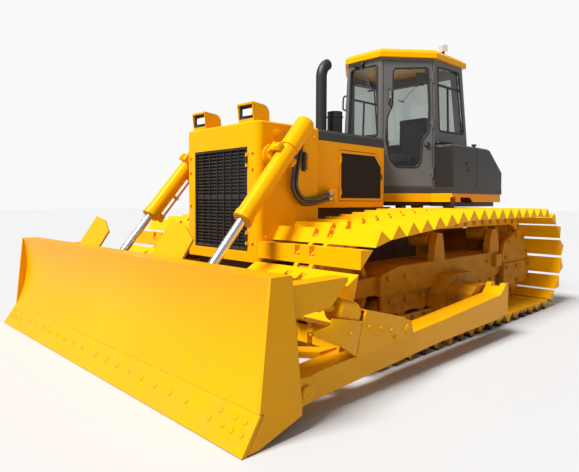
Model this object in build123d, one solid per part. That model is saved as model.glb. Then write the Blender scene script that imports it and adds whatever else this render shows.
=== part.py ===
"""Crawler bulldozer for soft ground: wide three-cornered swamp shoes, straight tilting blade,
six-sided glazed cab, and two lift cylinders beside the radiator guard.

Millimetres, +Z up. The machine faces -Y and its left side is +X.
The origin is on the ground, under the middle of the machine's length and width.
"""
import os

from build123d import *
from math import acos, atan2, cos, degrees, hypot, pi, sin, tan

# Small clearances, used wherever two pieces meet
SEAT_GAP = 0.3          # a piece and the seat that carries it
PIN_GAP = 0.5           # a pin in its bore
SWING_GAP = 6.0         # a door and its frame

# Chain of shoes
SHOE_COUNT = 44
SHOE_WIDTH = 1100
SHOE_GAP = 6            # between neighbouring shoes on a straight run
SHOE_HEIGHT = 100       # from the link to the crest
LINK_RISE = 55          # from the pin line to the shoe
LINK_DROP = 50          # from the pin line to the rail
LINK_OFFSET = 80        # from the middle of the chain to the middle of a link
LINK_WIDTH = 40
NOTCH_WIDTH = 54
NOTCH_DEPTH = 62
TRACK_GAUGE = 2200
SPROCKET_RADIUS = 440.6
SPROCKET_TEETH = 27
SPROCKET_Y = 2110
IDLER_RADIUS = 380
IDLER_Y = -1052
TOP_RUN_KINK_Y = 270    # the front carrier roller, where the top run starts to fall

# Track frame and its rollers; the blade's arms turn on balls at the ends of its wings
PIVOT_BALL = 78
PIVOT_SHAFT = 48
FRAME_INNER = 905
FRAME_OUTER = 1300
FRAME_BOTTOM = 430
FRAME_TOP = 690
FRAME_FRONT_Y = -680
FRAME_REAR_Y = 1640
GUARD_BOTTOM = 270
GUARD_THICK = 25
ROLLER_RADIUS = 100
ROLLER_COUNT = 7
CARRIER_RADIUS = 80
REAR_CARRIER_Y = 1480

# Main frame, rear case and engine
HULL_HALF = 430
HULL_BOTTOM = 400
HULL_FRONT_Y = -1330
RAIL_WIDTH = 110
CASE_FRONT_Y = 1250
CASE_REAR_Y = 2450
CASE_TOP = 1150
DRAWBAR_Y = 2710

# Radiator guard, grille and hood
GUARD_HALF = 550
GUARD_FRONT_Y = -1403
GUARD_REAR_Y = -660
GUARD_FLOOR = 730
GUARD_ROOF = 1950
GUARD_WALL = 22
GUARD_CORNER = 60
GRILLE_HALF = GUARD_HALF - 154
GRILLE_BOTTOM = GUARD_FLOOR + 99
GRILLE_TOP = GUARD_ROOF - 224
GRILLE_THICK = 30
SLAT_COUNT = 28
GRILLE_COLUMNS = 7
HOOD_HALF = GUARD_HALF - 50
HOOD_TOP = GUARD_ROOF + 10
HOOD_LIP = HOOD_TOP - 110
HOOD_WALL = 16
HOOD_SIDE_BOTTOM = 1200
HOOD_REAR_Y = 460       # where the hood's sides end; its top narrows from here to the cab

# Cab, deck and side boxes
CAB_FLOOR = 1430
CAB_HEIGHT = 1518
CAB_EAVES = CAB_FLOOR + CAB_HEIGHT
CAB_ROOF_THICK = 102
CAB_ROOF_LAP = 38
CAB_WALL = 55
GLASS_THICK = 8
DECK_THICK = 70
DECK_BOTTOM = CAB_FLOOR - DECK_THICK
SKIRT_HEIGHT = 100
SKIRT_BOTTOM = DECK_BOTTOM - SKIRT_HEIGHT
DECK_HALF = 950
BOX_TOP = CAB_FLOOR + 495
REAR_Y = CASE_REAR_Y + 5

# Blade and push arms: the arms run outside the tracks, and the blade covers both
ARM_TRACK_GAP = 50
ARM_WIDTH = 180
BLADE_OVERHANG = 70
BLADE_TOP = 870
BLADE_FRONT_Y = -2516
BLADE_TIP_Y = -2710
BLADE_SKIN = 20
BLADE_HOLLOW = 62       # how far the face curves back behind its chord
EDGE_LIFT = 4           # the cutting edge stands just clear of the ground

# Pivots that the blade and its cylinders turn on
BLADE_PIVOT = (490, 360)
LIFT_TRUNNION = (-1257, GUARD_ROOF - 300)
LIFT_EYE = (-2190, 562)
LIFT_X = GUARD_HALF + 170
BARREL_RADIUS = 75
BARREL_TOP = 395        # barrel length above its trunnion
BARREL_BOTTOM = 711     # barrel length below its trunnion
ROD_LENGTH = 1075
EYE_HALF = 45
ROD_RADIUS = 38

TRACK_X = TRACK_GAUGE / 2
TRACK_INNER = TRACK_X - SHOE_WIDTH / 2
TRACK_OUTER = TRACK_X + SHOE_WIDTH / 2
ARM_INNER = TRACK_OUTER + ARM_TRACK_GAP
ARM_OUTER = ARM_INNER + ARM_WIDTH
ARM_MIDDLE = (ARM_INNER + ARM_OUTER) / 2
BLADE_HALF = ARM_OUTER + BLADE_OVERHANG
LOWER_PIN_Z = LINK_RISE + SHOE_HEIGHT
SPROCKET_Z = LOWER_PIN_Z + SPROCKET_RADIUS
IDLER_Z = LOWER_PIN_Z + IDLER_RADIUS
UPPER_PIN_Z = SPROCKET_Z + SPROCKET_RADIUS
LOWER_RAIL_Z = LOWER_PIN_Z + LINK_DROP
UPPER_RAIL_Z = UPPER_PIN_Z - LINK_DROP
ROLLER_Z = LOWER_RAIL_Z + ROLLER_RADIUS + SEAT_GAP
CARRIER_Z = UPPER_RAIL_Z - CARRIER_RADIUS - SEAT_GAP


def block(x0, x1, y0, y1, z0, z1):
    """Box between two values on each axis."""
    return Pos(x0, y0, z0) * Box(x1 - x0, y1 - y0, z1 - z0, align=(Align.MIN,) * 3)


def side_plate(outline, x0, x1):
    """Plate from x0 to x1 with an outline of (y, z) points."""
    wire = Polyline(*[(x0, y, z) for y, z in outline], close=True)
    return extrude(make_face(wire), amount=x1 - x0, dir=(1, 0, 0))


def flat_plate(outline, z0, z1):
    """Plate from z0 to z1 with an outline of (x, y) points."""
    wire = Polyline(*[(x, y, z0) for x, y in outline], close=True)
    return extrude(make_face(wire), amount=z1 - z0, dir=(0, 0, 1))


def cross_rod(radius, x0, x1, y, z):
    """Round bar along X."""
    return Pos(x0, y, z) * Rot(0, 90, 0) * Cylinder(radius, x1 - x0, align=(Align.CENTER, Align.CENTER, Align.MIN))


def upright(radius, x, y, z0, z1):
    """Round bar along Z."""
    return Pos(x, y, z0) * Cylinder(radius, z1 - z0, align=(Align.CENTER, Align.CENTER, Align.MIN))


def slanted_rod(radius, start, length, slope, x):
    """Round bar in the plane of x, from start (y, z) downwards and forwards along slope."""
    plane = Plane(origin=(x, *start), x_dir=(1, 0, 0), z_dir=(0, -cos(slope), -sin(slope)))
    return plane * Cylinder(radius, length, align=(Align.CENTER, Align.CENTER, Align.MIN))


def along(start, distance, slope):
    """Point (y, z) that lies a distance down and forwards from start."""
    return (start[0] - distance * cos(slope), start[1] - distance * sin(slope))


def wheel(profile, y, z):
    """Body turned about an X axis from (x, radius) points."""
    wire = Polyline(*[(x, y, z + radius) for x, radius in profile], close=True)
    return revolve(make_face(wire), axis=Axis((0, y, z), (1, 0, 0)), revolution_arc=360)


def other_side(shape):
    return mirror(shape, about=Plane.YZ)


KNUCKLE_RADIUS = 9
KNUCKLE_HALF = 30       # half the height of the door's knuckle; the frame's stand above and below it
HINGE_LEAF = 6
HINGE_REACH = 10        # hinge axis in front of the outer face


def hinge(plane, heights, swings):
    """One half of a door's hinges: the door's middle knuckles, or the frame's outer pair.

    The plane has its origin on the outer face under the hinge axis, X away from the door, Y up the
    face and Z outwards. Heights give the middle of each hinge.
    """
    parts = []
    for height in heights:
        if swings:
            spans = [(height - KNUCKLE_HALF, height + KNUCKLE_HALF)]
            leaf_x = (-34, 0)
        else:
            gap = KNUCKLE_HALF + SEAT_GAP
            spans = [(height - gap - KNUCKLE_HALF, height - gap), (height + gap, height + gap + KNUCKLE_HALF)]
            leaf_x = (0, 18)
        for low, high in spans:
            knuckle = Pos(0, low, HINGE_REACH) * Rot(-90, 0, 0) * Cylinder(
                KNUCKLE_RADIUS, high - low, align=(Align.CENTER, Align.CENTER, Align.MIN))
            leaf = Pos(leaf_x[0], low, -1) * Box(
                leaf_x[1] - leaf_x[0], high - low, HINGE_LEAF + 1, align=(Align.MIN,) * 3)
            parts.append(plane * (knuckle + leaf))
    return parts


def save(name, *pieces):
    """Write one node, made of one or more separate solids."""
    solids = [solid for piece in pieces for solid in piece.solids()]
    export_step(solids[0] if len(solids) == 1 else Compound(solids), f"parts/{name}.step")


# Track chain

def chain_line():
    """Pin line of the chain as runs and arcs, from the front of the lower run and round by the rear."""
    reach = (TOP_RUN_KINK_Y - IDLER_Y, UPPER_PIN_Z - IDLER_Z)
    leave = atan2(reach[1], reach[0]) + acos(IDLER_RADIUS / hypot(*reach))
    idler_top = (IDLER_Y + IDLER_RADIUS * cos(leave), IDLER_Z + IDLER_RADIUS * sin(leave))
    return [
        ("run", (IDLER_Y, LOWER_PIN_Z), (SPROCKET_Y, LOWER_PIN_Z)),
        ("arc", (SPROCKET_Y, SPROCKET_Z), SPROCKET_RADIUS, -pi / 2, pi / 2),
        ("run", (SPROCKET_Y, UPPER_PIN_Z), (TOP_RUN_KINK_Y, UPPER_PIN_Z)),
        ("run", (TOP_RUN_KINK_Y, UPPER_PIN_Z), idler_top),
        ("arc", (IDLER_Y, IDLER_Z), IDLER_RADIUS, leave, 3 * pi / 2),
    ]


def piece_length(piece):
    if piece[0] == "run":
        return hypot(piece[2][0] - piece[1][0], piece[2][1] - piece[1][1])
    return piece[2] * (piece[4] - piece[3])


def chain_pins():
    """The pins' (y, z) places, evenly spaced along the chain line."""
    line = chain_line()
    pitch = sum(piece_length(piece) for piece in line) / SHOE_COUNT
    pins = []
    for number in range(SHOE_COUNT):
        place = number * pitch
        for piece in line:
            length = piece_length(piece)
            if place <= length:
                break
            place -= length
        share = place / length
        if piece[0] == "run":
            (y0, z0), (y1, z1) = piece[1:]
            pins.append((y0 + share * (y1 - y0), z0 + share * (z1 - z0)))
        else:
            (y, z), radius, first, last = piece[1:]
            turn = first + share * (last - first)
            pins.append((y + radius * cos(turn), z + radius * sin(turn)))
    return pins, pitch


def shoe(pitch):
    """One three-cornered shoe under X, with its link's face at Z = LINK_RISE and two bolt notches."""
    half = (pitch - SHOE_GAP) / 2
    crest = LINK_RISE + SHOE_HEIGHT
    outline = [(-half, LINK_RISE), (half, LINK_RISE), (0, crest)]
    body = side_plate(outline, TRACK_INNER, TRACK_OUTER)
    for offset_x in (-LINK_OFFSET, LINK_OFFSET):
        middle = TRACK_X + offset_x
        body -= block(middle - NOTCH_WIDTH / 2, middle + NOTCH_WIDTH / 2, -half, half, crest - NOTCH_DEPTH, crest + 1)
    return body


def turns(last, pin, following):
    """Whether the chain bends at a pin."""
    cross = (pin[0] - last[0]) * (following[1] - pin[1]) - (pin[1] - last[1]) * (following[0] - pin[0])
    return abs(cross) > 1.0


def track():
    """Left track: two link rails that follow the pins, and a shoe on each link."""
    pins, pitch = chain_pins()
    bends = [pin for last, pin, following in zip(pins[-1:] + pins, pins, pins[1:] + pins[:1]) if turns(last, pin, following)]
    loop = make_face(Polyline(*[(0, y, z) for y, z in bends], close=True))
    ring = offset(loop, LINK_RISE, kind=Kind.INTERSECTION) - offset(loop, -LINK_DROP, kind=Kind.INTERSECTION)
    rails = [
        Pos(TRACK_X + offset_x - LINK_WIDTH / 2, 0, 0) * extrude(ring, amount=LINK_WIDTH, dir=(1, 0, 0))
        for offset_x in (-LINK_OFFSET, LINK_OFFSET)
    ]
    pattern = shoe(pitch)
    shoes = []
    for (y0, z0), (y1, z1) in zip(pins, pins[1:] + pins[:1]):
        turn = degrees(atan2(z1 - z0, y1 - y0))
        shoes.append(Pos(0, (y0 + y1) / 2, (z0 + z1) / 2) * Rot(turn + 180, 0, 0) * pattern)
    return rails[0].fuse(rails[1], *shoes)


def inner_reach(radius, pitch):
    """Radius that just touches the chain's rail where it bends round a wheel of that pin radius."""
    return radius * cos(pitch / (2 * radius)) - LINK_DROP - SEAT_GAP


def idler():
    """Front idler: a rim with a middle flange that runs between the link rails."""
    pitch = chain_pins()[1]
    tread = inner_reach(IDLER_RADIUS, pitch)
    rim = LINK_OFFSET + LINK_WIDTH / 2
    flange = LINK_OFFSET - LINK_WIDTH / 2 - 12
    profile = [
        (-95, 45), (-95, 85), (-35, 105), (-35, tread - 70), (-rim, tread - 45), (-rim, tread),
        (-flange, tread), (-flange, tread + 32), (flange, tread + 32), (flange, tread),
        (rim, tread), (rim, tread - 45), (35, tread - 70), (35, 105), (95, 85), (95, 45),
    ]
    return wheel([(TRACK_X + x, radius) for x, radius in profile], IDLER_Y, IDLER_Z)


def sprocket():
    """Drive sprocket with its toothed rim, between the link rails."""
    root = SPROCKET_RADIUS - 42
    tip = SPROCKET_RADIUS + 18
    points = []
    for tooth in range(SPROCKET_TEETH):
        for share, radius in ((-0.30, root), (-0.13, tip), (0.13, tip), (0.30, root)):
            turn = 2 * pi * (tooth + share) / SPROCKET_TEETH
            points.append((SPROCKET_Y + radius * cos(turn), SPROCKET_Z + radius * sin(turn)))
    rim = side_plate(points, TRACK_X - 32, TRACK_X + 32) - cross_rod(60, TRACK_X - 33, TRACK_X + 33, SPROCKET_Y, SPROCKET_Z)
    hub = wheel(
        [
            (TRACK_X - 150, 60), (TRACK_X - 150, 235), (TRACK_X - 32, 300), (TRACK_X + 32, 300),
            (TRACK_X + 90, 250), (TRACK_X + 170, 235), (TRACK_X + 190, 215), (TRACK_X + 190, 60),
        ],
        SPROCKET_Y, SPROCKET_Z,
    )
    return rim + hub


def final_drive():
    """Round gear housing between the rear case and the sprocket, with its shaft."""
    return wheel(
        [
            (HULL_HALF, 0), (HULL_HALF, 290), (HULL_HALF + 190, 325), (HULL_HALF + 430, 325),
            (TRACK_X - 190, 300), (TRACK_X - 150, 240), (TRACK_X - 150, 60 - PIN_GAP),
            (TRACK_X + 210, 60 - PIN_GAP), (TRACK_X + 210, 0),
        ],
        SPROCKET_Y, SPROCKET_Z,
    )


def lower_rollers():
    """Track rollers of the left side, each with its axle."""
    step = (FRAME_REAR_Y - FRAME_FRONT_Y - 300) / (ROLLER_COUNT - 1)
    rollers = []
    for number in range(ROLLER_COUNT):
        y = FRAME_FRONT_Y + 120 + number * step
        rollers.append(wheel(
            [
                (TRACK_X - 150, 0), (TRACK_X - 105, ROLLER_RADIUS), (TRACK_X - 50, ROLLER_RADIUS), (TRACK_X - 50, 72),
                (TRACK_X + 50, 72), (TRACK_X + 50, ROLLER_RADIUS), (TRACK_X + 105, ROLLER_RADIUS), (TRACK_X + 150, 0),
            ],
            y, ROLLER_Z,
        ))
    return rollers


def carrier_rollers():
    """Two carrier rollers that hold the left track's top run, each on an axle from its post."""
    rollers = []
    for y, drop in ((TOP_RUN_KINK_Y, 6), (REAR_CARRIER_Y, 0)):
        rollers.append(wheel(
            [
                (TRACK_X - 120, 0), (TRACK_X - 105, CARRIER_RADIUS), (TRACK_X + 105, CARRIER_RADIUS),
                (TRACK_X + 110, 45), (TRACK_X + 130, 45), (TRACK_X + 130, 0),
            ],
            y, CARRIER_Z - drop,
        ))
    return rollers


POST_INNER = TRACK_X + 130
POST_OUTER = TRACK_X + 205
# Carrier posts: middle y, half width at the foot, half width at the top
CARRIER_POSTS = [
    (TOP_RUN_KINK_Y, 105, 75),
    (REAR_CARRIER_Y, 130, 95),
]


COVER_FACE = TRACK_X + 250      # outer face of the bearing arm
COVER_REACH = 300       # how far it reaches behind the sprocket's axis
COVER_SEAM = 45         # the seam between its halves, below the axis


def track_frame():
    """Left track frame: box beam, roller guards, idler yoke, rear bearing arm, carrier posts and trunnion beam."""
    beam = side_plate(
        [
            (FRAME_FRONT_Y, FRAME_BOTTOM + 20), (FRAME_REAR_Y - 40, FRAME_BOTTOM), (FRAME_REAR_Y, FRAME_BOTTOM + 60),
            (FRAME_REAR_Y - 60, FRAME_TOP), (FRAME_FRONT_Y + 260, FRAME_TOP), (FRAME_FRONT_Y, FRAME_TOP - 60),
        ],
        FRAME_INNER, FRAME_OUTER,
    )
    for x0, x1 in ((TRACK_X - 150 - GUARD_THICK, TRACK_X - 150), (TRACK_X + 150, TRACK_X + 150 + GUARD_THICK)):
        beam += side_plate(
            [
                (FRAME_FRONT_Y + 30, FRAME_BOTTOM + 20), (FRAME_FRONT_Y + 60, GUARD_BOTTOM),
                (FRAME_REAR_Y - 90, GUARD_BOTTOM), (FRAME_REAR_Y - 40, FRAME_BOTTOM),
                (FRAME_REAR_Y - 60, FRAME_BOTTOM + 30), (FRAME_FRONT_Y + 30, FRAME_BOTTOM + 50),
            ],
            x0, x1,
        )
    for x0, x1 in ((TRACK_X - 150, TRACK_X - 106), (TRACK_X + 106, TRACK_X + 150)):
        beam += side_plate(
            [
                (FRAME_FRONT_Y + 1, FRAME_BOTTOM + 30), (FRAME_FRONT_Y + 1, FRAME_TOP - 70),
                (IDLER_Y - 60, IDLER_Z + 70), (IDLER_Y - 110, IDLER_Z), (IDLER_Y - 60, IDLER_Z - 70),
            ],
            x0, x1,
        )
    beam += cross_rod(45 - PIN_GAP, TRACK_X - 107, TRACK_X + 107, IDLER_Y, IDLER_Z)
    # Outer bearing arm: an upper cover that leans back over the sprocket, bolted to a lower half
    bearing = side_plate(
        [
            (FRAME_REAR_Y - 1, GUARD_BOTTOM + 20), (SPROCKET_Y + 130, GUARD_BOTTOM + 20),
            (SPROCKET_Y + COVER_REACH, SPROCKET_Z - 150), (SPROCKET_Y + COVER_REACH, SPROCKET_Z - COVER_SEAM),
            (FRAME_REAR_Y - 1, SPROCKET_Z - COVER_SEAM),
        ],
        TRACK_X + 192, COVER_FACE,
    )
    bearing += side_plate(
        [
            (FRAME_REAR_Y - 1, SPROCKET_Z - COVER_SEAM), (SPROCKET_Y + COVER_REACH - 40, SPROCKET_Z - COVER_SEAM),
            (SPROCKET_Y + COVER_REACH - 40, SPROCKET_Z + 90), (SPROCKET_Y + 130, SPROCKET_Z + 260),
            (SPROCKET_Y - 110, SPROCKET_Z + 310), (FRAME_REAR_Y + 40, SPROCKET_Z + 190), (FRAME_REAR_Y - 1, FRAME_TOP - 5),
        ],
        TRACK_X + 192, COVER_FACE - 18,
    )
    bearing -= cross_rod(60, TRACK_X + 180, TRACK_X + 210, SPROCKET_Y, SPROCKET_Z)
    beam += block(TRACK_X + 100, TRACK_X + 250, FRAME_REAR_Y - 200, FRAME_REAR_Y - 62, FRAME_BOTTOM + 100, FRAME_TOP - 20)
    beam += bearing
    for y, foot, top in CARRIER_POSTS:
        beam += side_plate(
            [
                (y - foot, FRAME_TOP - 1), (y + foot, FRAME_TOP - 1), (y + top, CARRIER_Z - 30),
                (y + top * 0.6, CARRIER_Z + 50), (y - top * 0.6, CARRIER_Z + 50), (y - top, CARRIER_Z - 30),
            ],
            POST_INNER, POST_OUTER,
        )
    pivot_y, pivot_z = BLADE_PIVOT
    wing = side_plate(
        [
            (pivot_y - 400, LOWER_RAIL_Z + 55), (pivot_y + 330, LOWER_RAIL_Z + 55), (pivot_y + 330, pivot_z + 60),
            (pivot_y + 200, FRAME_TOP - 130), (pivot_y - 200, FRAME_TOP - 130), (pivot_y - 400, pivot_z + 40),
        ],
        FRAME_OUTER - 20, FRAME_OUTER + 130,
    )
    wing += side_plate(
        [
            (pivot_y - 300, pivot_z - 90), (pivot_y + 180, pivot_z - 90), (pivot_y + 180, pivot_z + 80),
            (pivot_y + 60, pivot_z + 120), (pivot_y - 200, pivot_z + 120), (pivot_y - 300, pivot_z + 60),
        ],
        FRAME_OUTER + 100, ARM_INNER - 20,
    )
    wing += cross_rod(PIVOT_SHAFT, ARM_INNER - 30, ARM_MIDDLE, pivot_y, pivot_z)
    wing += Pos(ARM_MIDDLE, pivot_y, pivot_z) * Sphere(PIVOT_BALL)
    return beam + wing


# Main frame and rear case

def main_frame():
    """Two rails with cross members and a belly plate, under the guard, engine and cab."""
    rail = side_plate(
        [
            (HULL_FRONT_Y, HULL_BOTTOM + 60), (HULL_FRONT_Y + 120, HULL_BOTTOM), (CASE_FRONT_Y, HULL_BOTTOM),
            (CASE_FRONT_Y, HULL_BOTTOM + 520), (HULL_FRONT_Y + 700, GUARD_FLOOR), (HULL_FRONT_Y, GUARD_FLOOR),
        ],
        HULL_HALF - RAIL_WIDTH, HULL_HALF,
    )
    frame = rail + other_side(rail)
    inner = HULL_HALF - RAIL_WIDTH + 1
    for y0, y1, z0, z1 in (
        (HULL_FRONT_Y, HULL_FRONT_Y + 90, HULL_BOTTOM + 60, GUARD_FLOOR),
        (HULL_FRONT_Y + 120, CASE_FRONT_Y, HULL_BOTTOM, HULL_BOTTOM + 14),
        (-420, -180, HULL_BOTTOM + 14, HULL_BOTTOM + 150),
        (CASE_FRONT_Y - 120, CASE_FRONT_Y, HULL_BOTTOM + 14, HULL_BOTTOM + 480),
    ):
        frame += block(-inner, inner, y0, y1, z0, z1)
    return frame


PAD_BOLT_X = 320        # bolt pads for a ripper or winch, either side of the drawbar
PAD_BOLT_Z = 80
PAD_Z = 740
PAD_THICK = 12
PAD_HOLE = 12


def rear_case():
    """Gear and steering case that closes the hull behind the engine."""
    case = side_plate(
        [
            (CASE_FRONT_Y, HULL_BOTTOM), (CASE_REAR_Y - 160, HULL_BOTTOM), (CASE_REAR_Y, HULL_BOTTOM + 170),
            (CASE_REAR_Y, CASE_TOP - 260), (CASE_REAR_Y - 180, CASE_TOP), (CASE_FRONT_Y, CASE_TOP),
        ],
        -HULL_HALF, HULL_HALF,
    )
    for x in (-HULL_HALF + 50, HULL_HALF - 50):
        for y in (CASE_FRONT_Y + 90, CASE_REAR_Y - 330):
            case += block(x - 50, x + 50, y - 60, y + 60, CASE_TOP - 1, SKIRT_BOTTOM)
    for sign in (-1, 1):
        x = sign * PAD_BOLT_X
        case += block(x - 65, x + 65, CASE_REAR_Y - 1, CASE_REAR_Y + PAD_THICK, PAD_Z - 130, PAD_Z + 130)
        for z in (PAD_Z - PAD_BOLT_Z, PAD_Z + PAD_BOLT_Z):
            hole = Pos(x, CASE_REAR_Y + PAD_THICK + 1, z) * Rot(90, 0, 0) * Cylinder(
                PAD_HOLE, 56, align=(Align.CENTER, Align.CENTER, Align.MIN))
            case -= hole
    return case


def drawbar():
    """Towing bracket on the back of the rear case, with a drop pin's bore."""
    low = HULL_BOTTOM + 190
    jaw = block(-150, 150, CASE_REAR_Y, CASE_REAR_Y + 40, low, low + 300)
    for z in (low + 60, low + 190):
        tongue = flat_plate(
            [(-130, CASE_REAR_Y + 39), (130, CASE_REAR_Y + 39), (90, DRAWBAR_Y), (-90, DRAWBAR_Y)], z, z + 50)
        jaw += tongue
    return jaw - upright(26, 0, DRAWBAR_Y - 90, low, low + 300)


def equalizer_bar():
    """Cross bar pinned under the front of the hull, resting on both track frames."""
    y = -300
    end = FRAME_INNER - SEAT_GAP
    top = HULL_BOTTOM - SEAT_GAP
    right_half = [(end, 470), (end, 580), (470, top)]
    outline = right_half + [(-x, z) for x, z in reversed(right_half)] + [(-400, top - 115), (400, top - 115)]
    wire = Polyline(*[(x, y - 55, z) for x, z in outline], close=True)
    return extrude(make_face(wire), amount=110, dir=(0, 1, 0))


# Radiator guard, grille and lamps

def radiator_guard():
    """Welded nose with rounded front corners, open below and behind, with the grille's opening in front."""
    outer = block(-GUARD_HALF, GUARD_HALF, GUARD_FRONT_Y, GUARD_REAR_Y, GUARD_FLOOR, GUARD_ROOF)
    outer = fillet(outer.edges().filter_by(Axis.Z).group_by(Axis.Y)[0], GUARD_CORNER)
    outer = chamfer(outer.faces().sort_by(Axis.Z)[-1].edges().filter_by(lambda edge: edge.center().Y < GUARD_REAR_Y - 1), 14)
    inner = block(
        -GUARD_HALF + GUARD_WALL, GUARD_HALF - GUARD_WALL, GUARD_FRONT_Y + GRILLE_THICK + 4, GUARD_REAR_Y + 1,
        GUARD_FLOOR - 1, GUARD_ROOF - GUARD_WALL)
    opening = block(
        -GRILLE_HALF - SWING_GAP, GRILLE_HALF + SWING_GAP, GUARD_FRONT_Y - 1, GUARD_FRONT_Y + GRILLE_THICK + 5,
        GRILLE_BOTTOM - SWING_GAP, GRILLE_TOP + SWING_GAP)
    guard = outer - inner - opening
    for half in grille_hinge(False):
        guard += half
    return guard


TRUNNION_RADIUS = 34
TRUNNION_FACE = LIFT_X - BARREL_RADIUS - 22     # the bracket's face beside the barrel
TRUNNION_DEPTH = 60


def trunnion_bracket():
    """Left lift cylinder's boss on the guard's side: a round foot and a stub with the trunnion's bore."""
    boss = wheel(
        [
            (GUARD_HALF, 0), (GUARD_HALF, 105), (GUARD_HALF + 16, 105), (GUARD_HALF + 30, 66),
            (TRUNNION_FACE, 60), (TRUNNION_FACE, 0),
        ],
        *LIFT_TRUNNION,
    )
    return boss - cross_rod(TRUNNION_RADIUS, TRUNNION_FACE - TRUNNION_DEPTH, TRUNNION_FACE + 1, *LIFT_TRUNNION)


GRILLE_HINGES = (GRILLE_BOTTOM + 110, GRILLE_TOP - 110)


def grille_hinge(swings):
    plane = Plane(
        origin=(GRILLE_HALF + SWING_GAP / 2, GUARD_FRONT_Y, 0), x_dir=(1, 0, 0), z_dir=(0, -1, 0))
    return hinge(plane, GRILLE_HINGES, swings)


GRILLE_BAR = 7


def grille():
    """Slatted grille door in one frame, with upright bars in front of the slats."""
    front = GUARD_FRONT_Y
    rim = 16
    door = block(-GRILLE_HALF, GRILLE_HALF, front, front + GRILLE_THICK, GRILLE_BOTTOM, GRILLE_TOP)
    low, high = GRILLE_BOTTOM + rim, GRILLE_TOP - rim
    side = GRILLE_HALF - rim
    door -= block(-side, side, front - 1, front + 14, low, high)
    door -= block(-side, side, front + 22, front + GRILLE_THICK + 1, low, high)
    pitch = (high - low) / SLAT_COUNT
    slots = [
        block(-side, side, front + 13, front + 23, low + (number + 0.45) * pitch, low + (number + 0.98) * pitch)
        for number in range(SLAT_COUNT) if number != SLAT_COUNT // 2
    ]
    door = door.cut(*slots)
    column = 2 * side / GRILLE_COLUMNS
    for number in range(1, GRILLE_COLUMNS):
        x = -side + number * column
        door += block(x - GRILLE_BAR / 2, x + GRILLE_BAR / 2, front + 5, front + 13, low - 1, high + 1)
    for half in grille_hinge(True):
        door += half
    return door


def radiator_core():
    return block(
        -GRILLE_HALF - 20, GRILLE_HALF + 20, GUARD_FRONT_Y + 120, GUARD_FRONT_Y + 210,
        GUARD_FLOOR + SEAT_GAP, GRILLE_TOP + 60)


LAMP_INNER = 250
LAMP_OUTER = 460
LAMP_WALL = 9
LAMP_DEPTH = 80
LAMP_TOP = 148          # underside of the hood's top sheet above the guard's roof


def lamp_housing():
    """Left headlamp hood on the guard's roof, open in front."""
    roof = GUARD_ROOF
    front = GUARD_FRONT_Y + 14
    body = side_plate(
        [(front + 12, roof), (front + 190, roof), (front + 190, roof + 148), (front - 6, roof + 165)],
        LAMP_INNER, LAMP_OUTER,
    )
    body = fillet(body.edges().filter_by(Axis.X).sort_by(lambda edge: edge.center().Y + edge.center().Z)[-1], 75)
    return body - block(
        LAMP_INNER + LAMP_WALL, LAMP_OUTER - LAMP_WALL, front - 20, front + LAMP_DEPTH, roof + 26, roof + LAMP_TOP)


def lamp_lens():
    roof = GUARD_ROOF
    front = GUARD_FRONT_Y + 14
    edge = LAMP_WALL + SEAT_GAP
    return block(
        LAMP_INNER + edge, LAMP_OUTER - edge, front + LAMP_DEPTH - 45, front + LAMP_DEPTH - SEAT_GAP,
        roof + 26 + SEAT_GAP, roof + LAMP_TOP - SEAT_GAP)


# Hood

FRONT_WALL_Y = 700      # front face of the cab at its floor
# The cab's two six-cornered outlines, at the floor and at the eaves:
# front half width, front y, door run in x, door run in y, rear y
CAB_OUTLINES = {
    CAB_FLOOR: (290, FRONT_WALL_Y, 402, 505, 2090),
    CAB_EAVES: (246, FRONT_WALL_Y + 40, 402, 505, 1905),
}
DOOR_FRONT_Y = -290
DOOR_REAR_Y = HOOD_REAR_Y - 30
DOOR_LOW = HOOD_SIDE_BOTTOM + 70
DOOR_HIGH = HOOD_LIP - 75
DOOR_CUT = 125          # clipped upper rear corner


def engine_door_outline(grow):
    """Engine door outline on the hood's side, as (y, z) points."""
    return [
        (DOOR_FRONT_Y - grow, DOOR_LOW - grow), (DOOR_REAR_Y + grow, DOOR_LOW - grow),
        (DOOR_REAR_Y + grow, DOOR_HIGH - DOOR_CUT + grow * 0.4), (DOOR_REAR_Y - DOOR_CUT + grow * 0.4, DOOR_HIGH + grow),
        (DOOR_FRONT_Y - grow, DOOR_HIGH + grow),
    ]


def engine_door_hinge(swings):
    # Drawn on the right side, where the plane's Y points up, and mirrored to the left
    plane = Plane(origin=(-HOOD_HALF, DOOR_FRONT_Y - SWING_GAP / 2, 0), x_dir=(0, -1, 0), z_dir=(-1, 0, 0))
    return [other_side(half) for half in hinge(plane, (DOOR_LOW + 90, DOOR_HIGH - 90), swings)]


HOOD_CHAMFER = 30


def hood_top():
    """Dark hood cover with turned-down edges, between the guard and the cab."""
    def outline(half, narrow, front, rear):
        return [
            (half, front), (half, HOOD_REAR_Y), (narrow, rear), (-narrow, rear), (-half, HOOD_REAR_Y), (-half, front),
        ]

    narrow = CAB_OUTLINES[CAB_FLOOR][0]
    cover = flat_plate(outline(HOOD_HALF, narrow, GUARD_REAR_Y, FRONT_WALL_Y), HOOD_LIP, HOOD_TOP)
    cover = chamfer(cover.edges().filter_by(Axis.Y).group_by(Axis.Z)[-1], HOOD_CHAMFER)
    inner = flat_plate(
        outline(HOOD_HALF - HOOD_WALL, narrow - HOOD_WALL, GUARD_REAR_Y - 1, FRONT_WALL_Y + 1),
        HOOD_LIP - 1, HOOD_TOP - HOOD_CHAMFER - 2)
    return cover - inner


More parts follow.
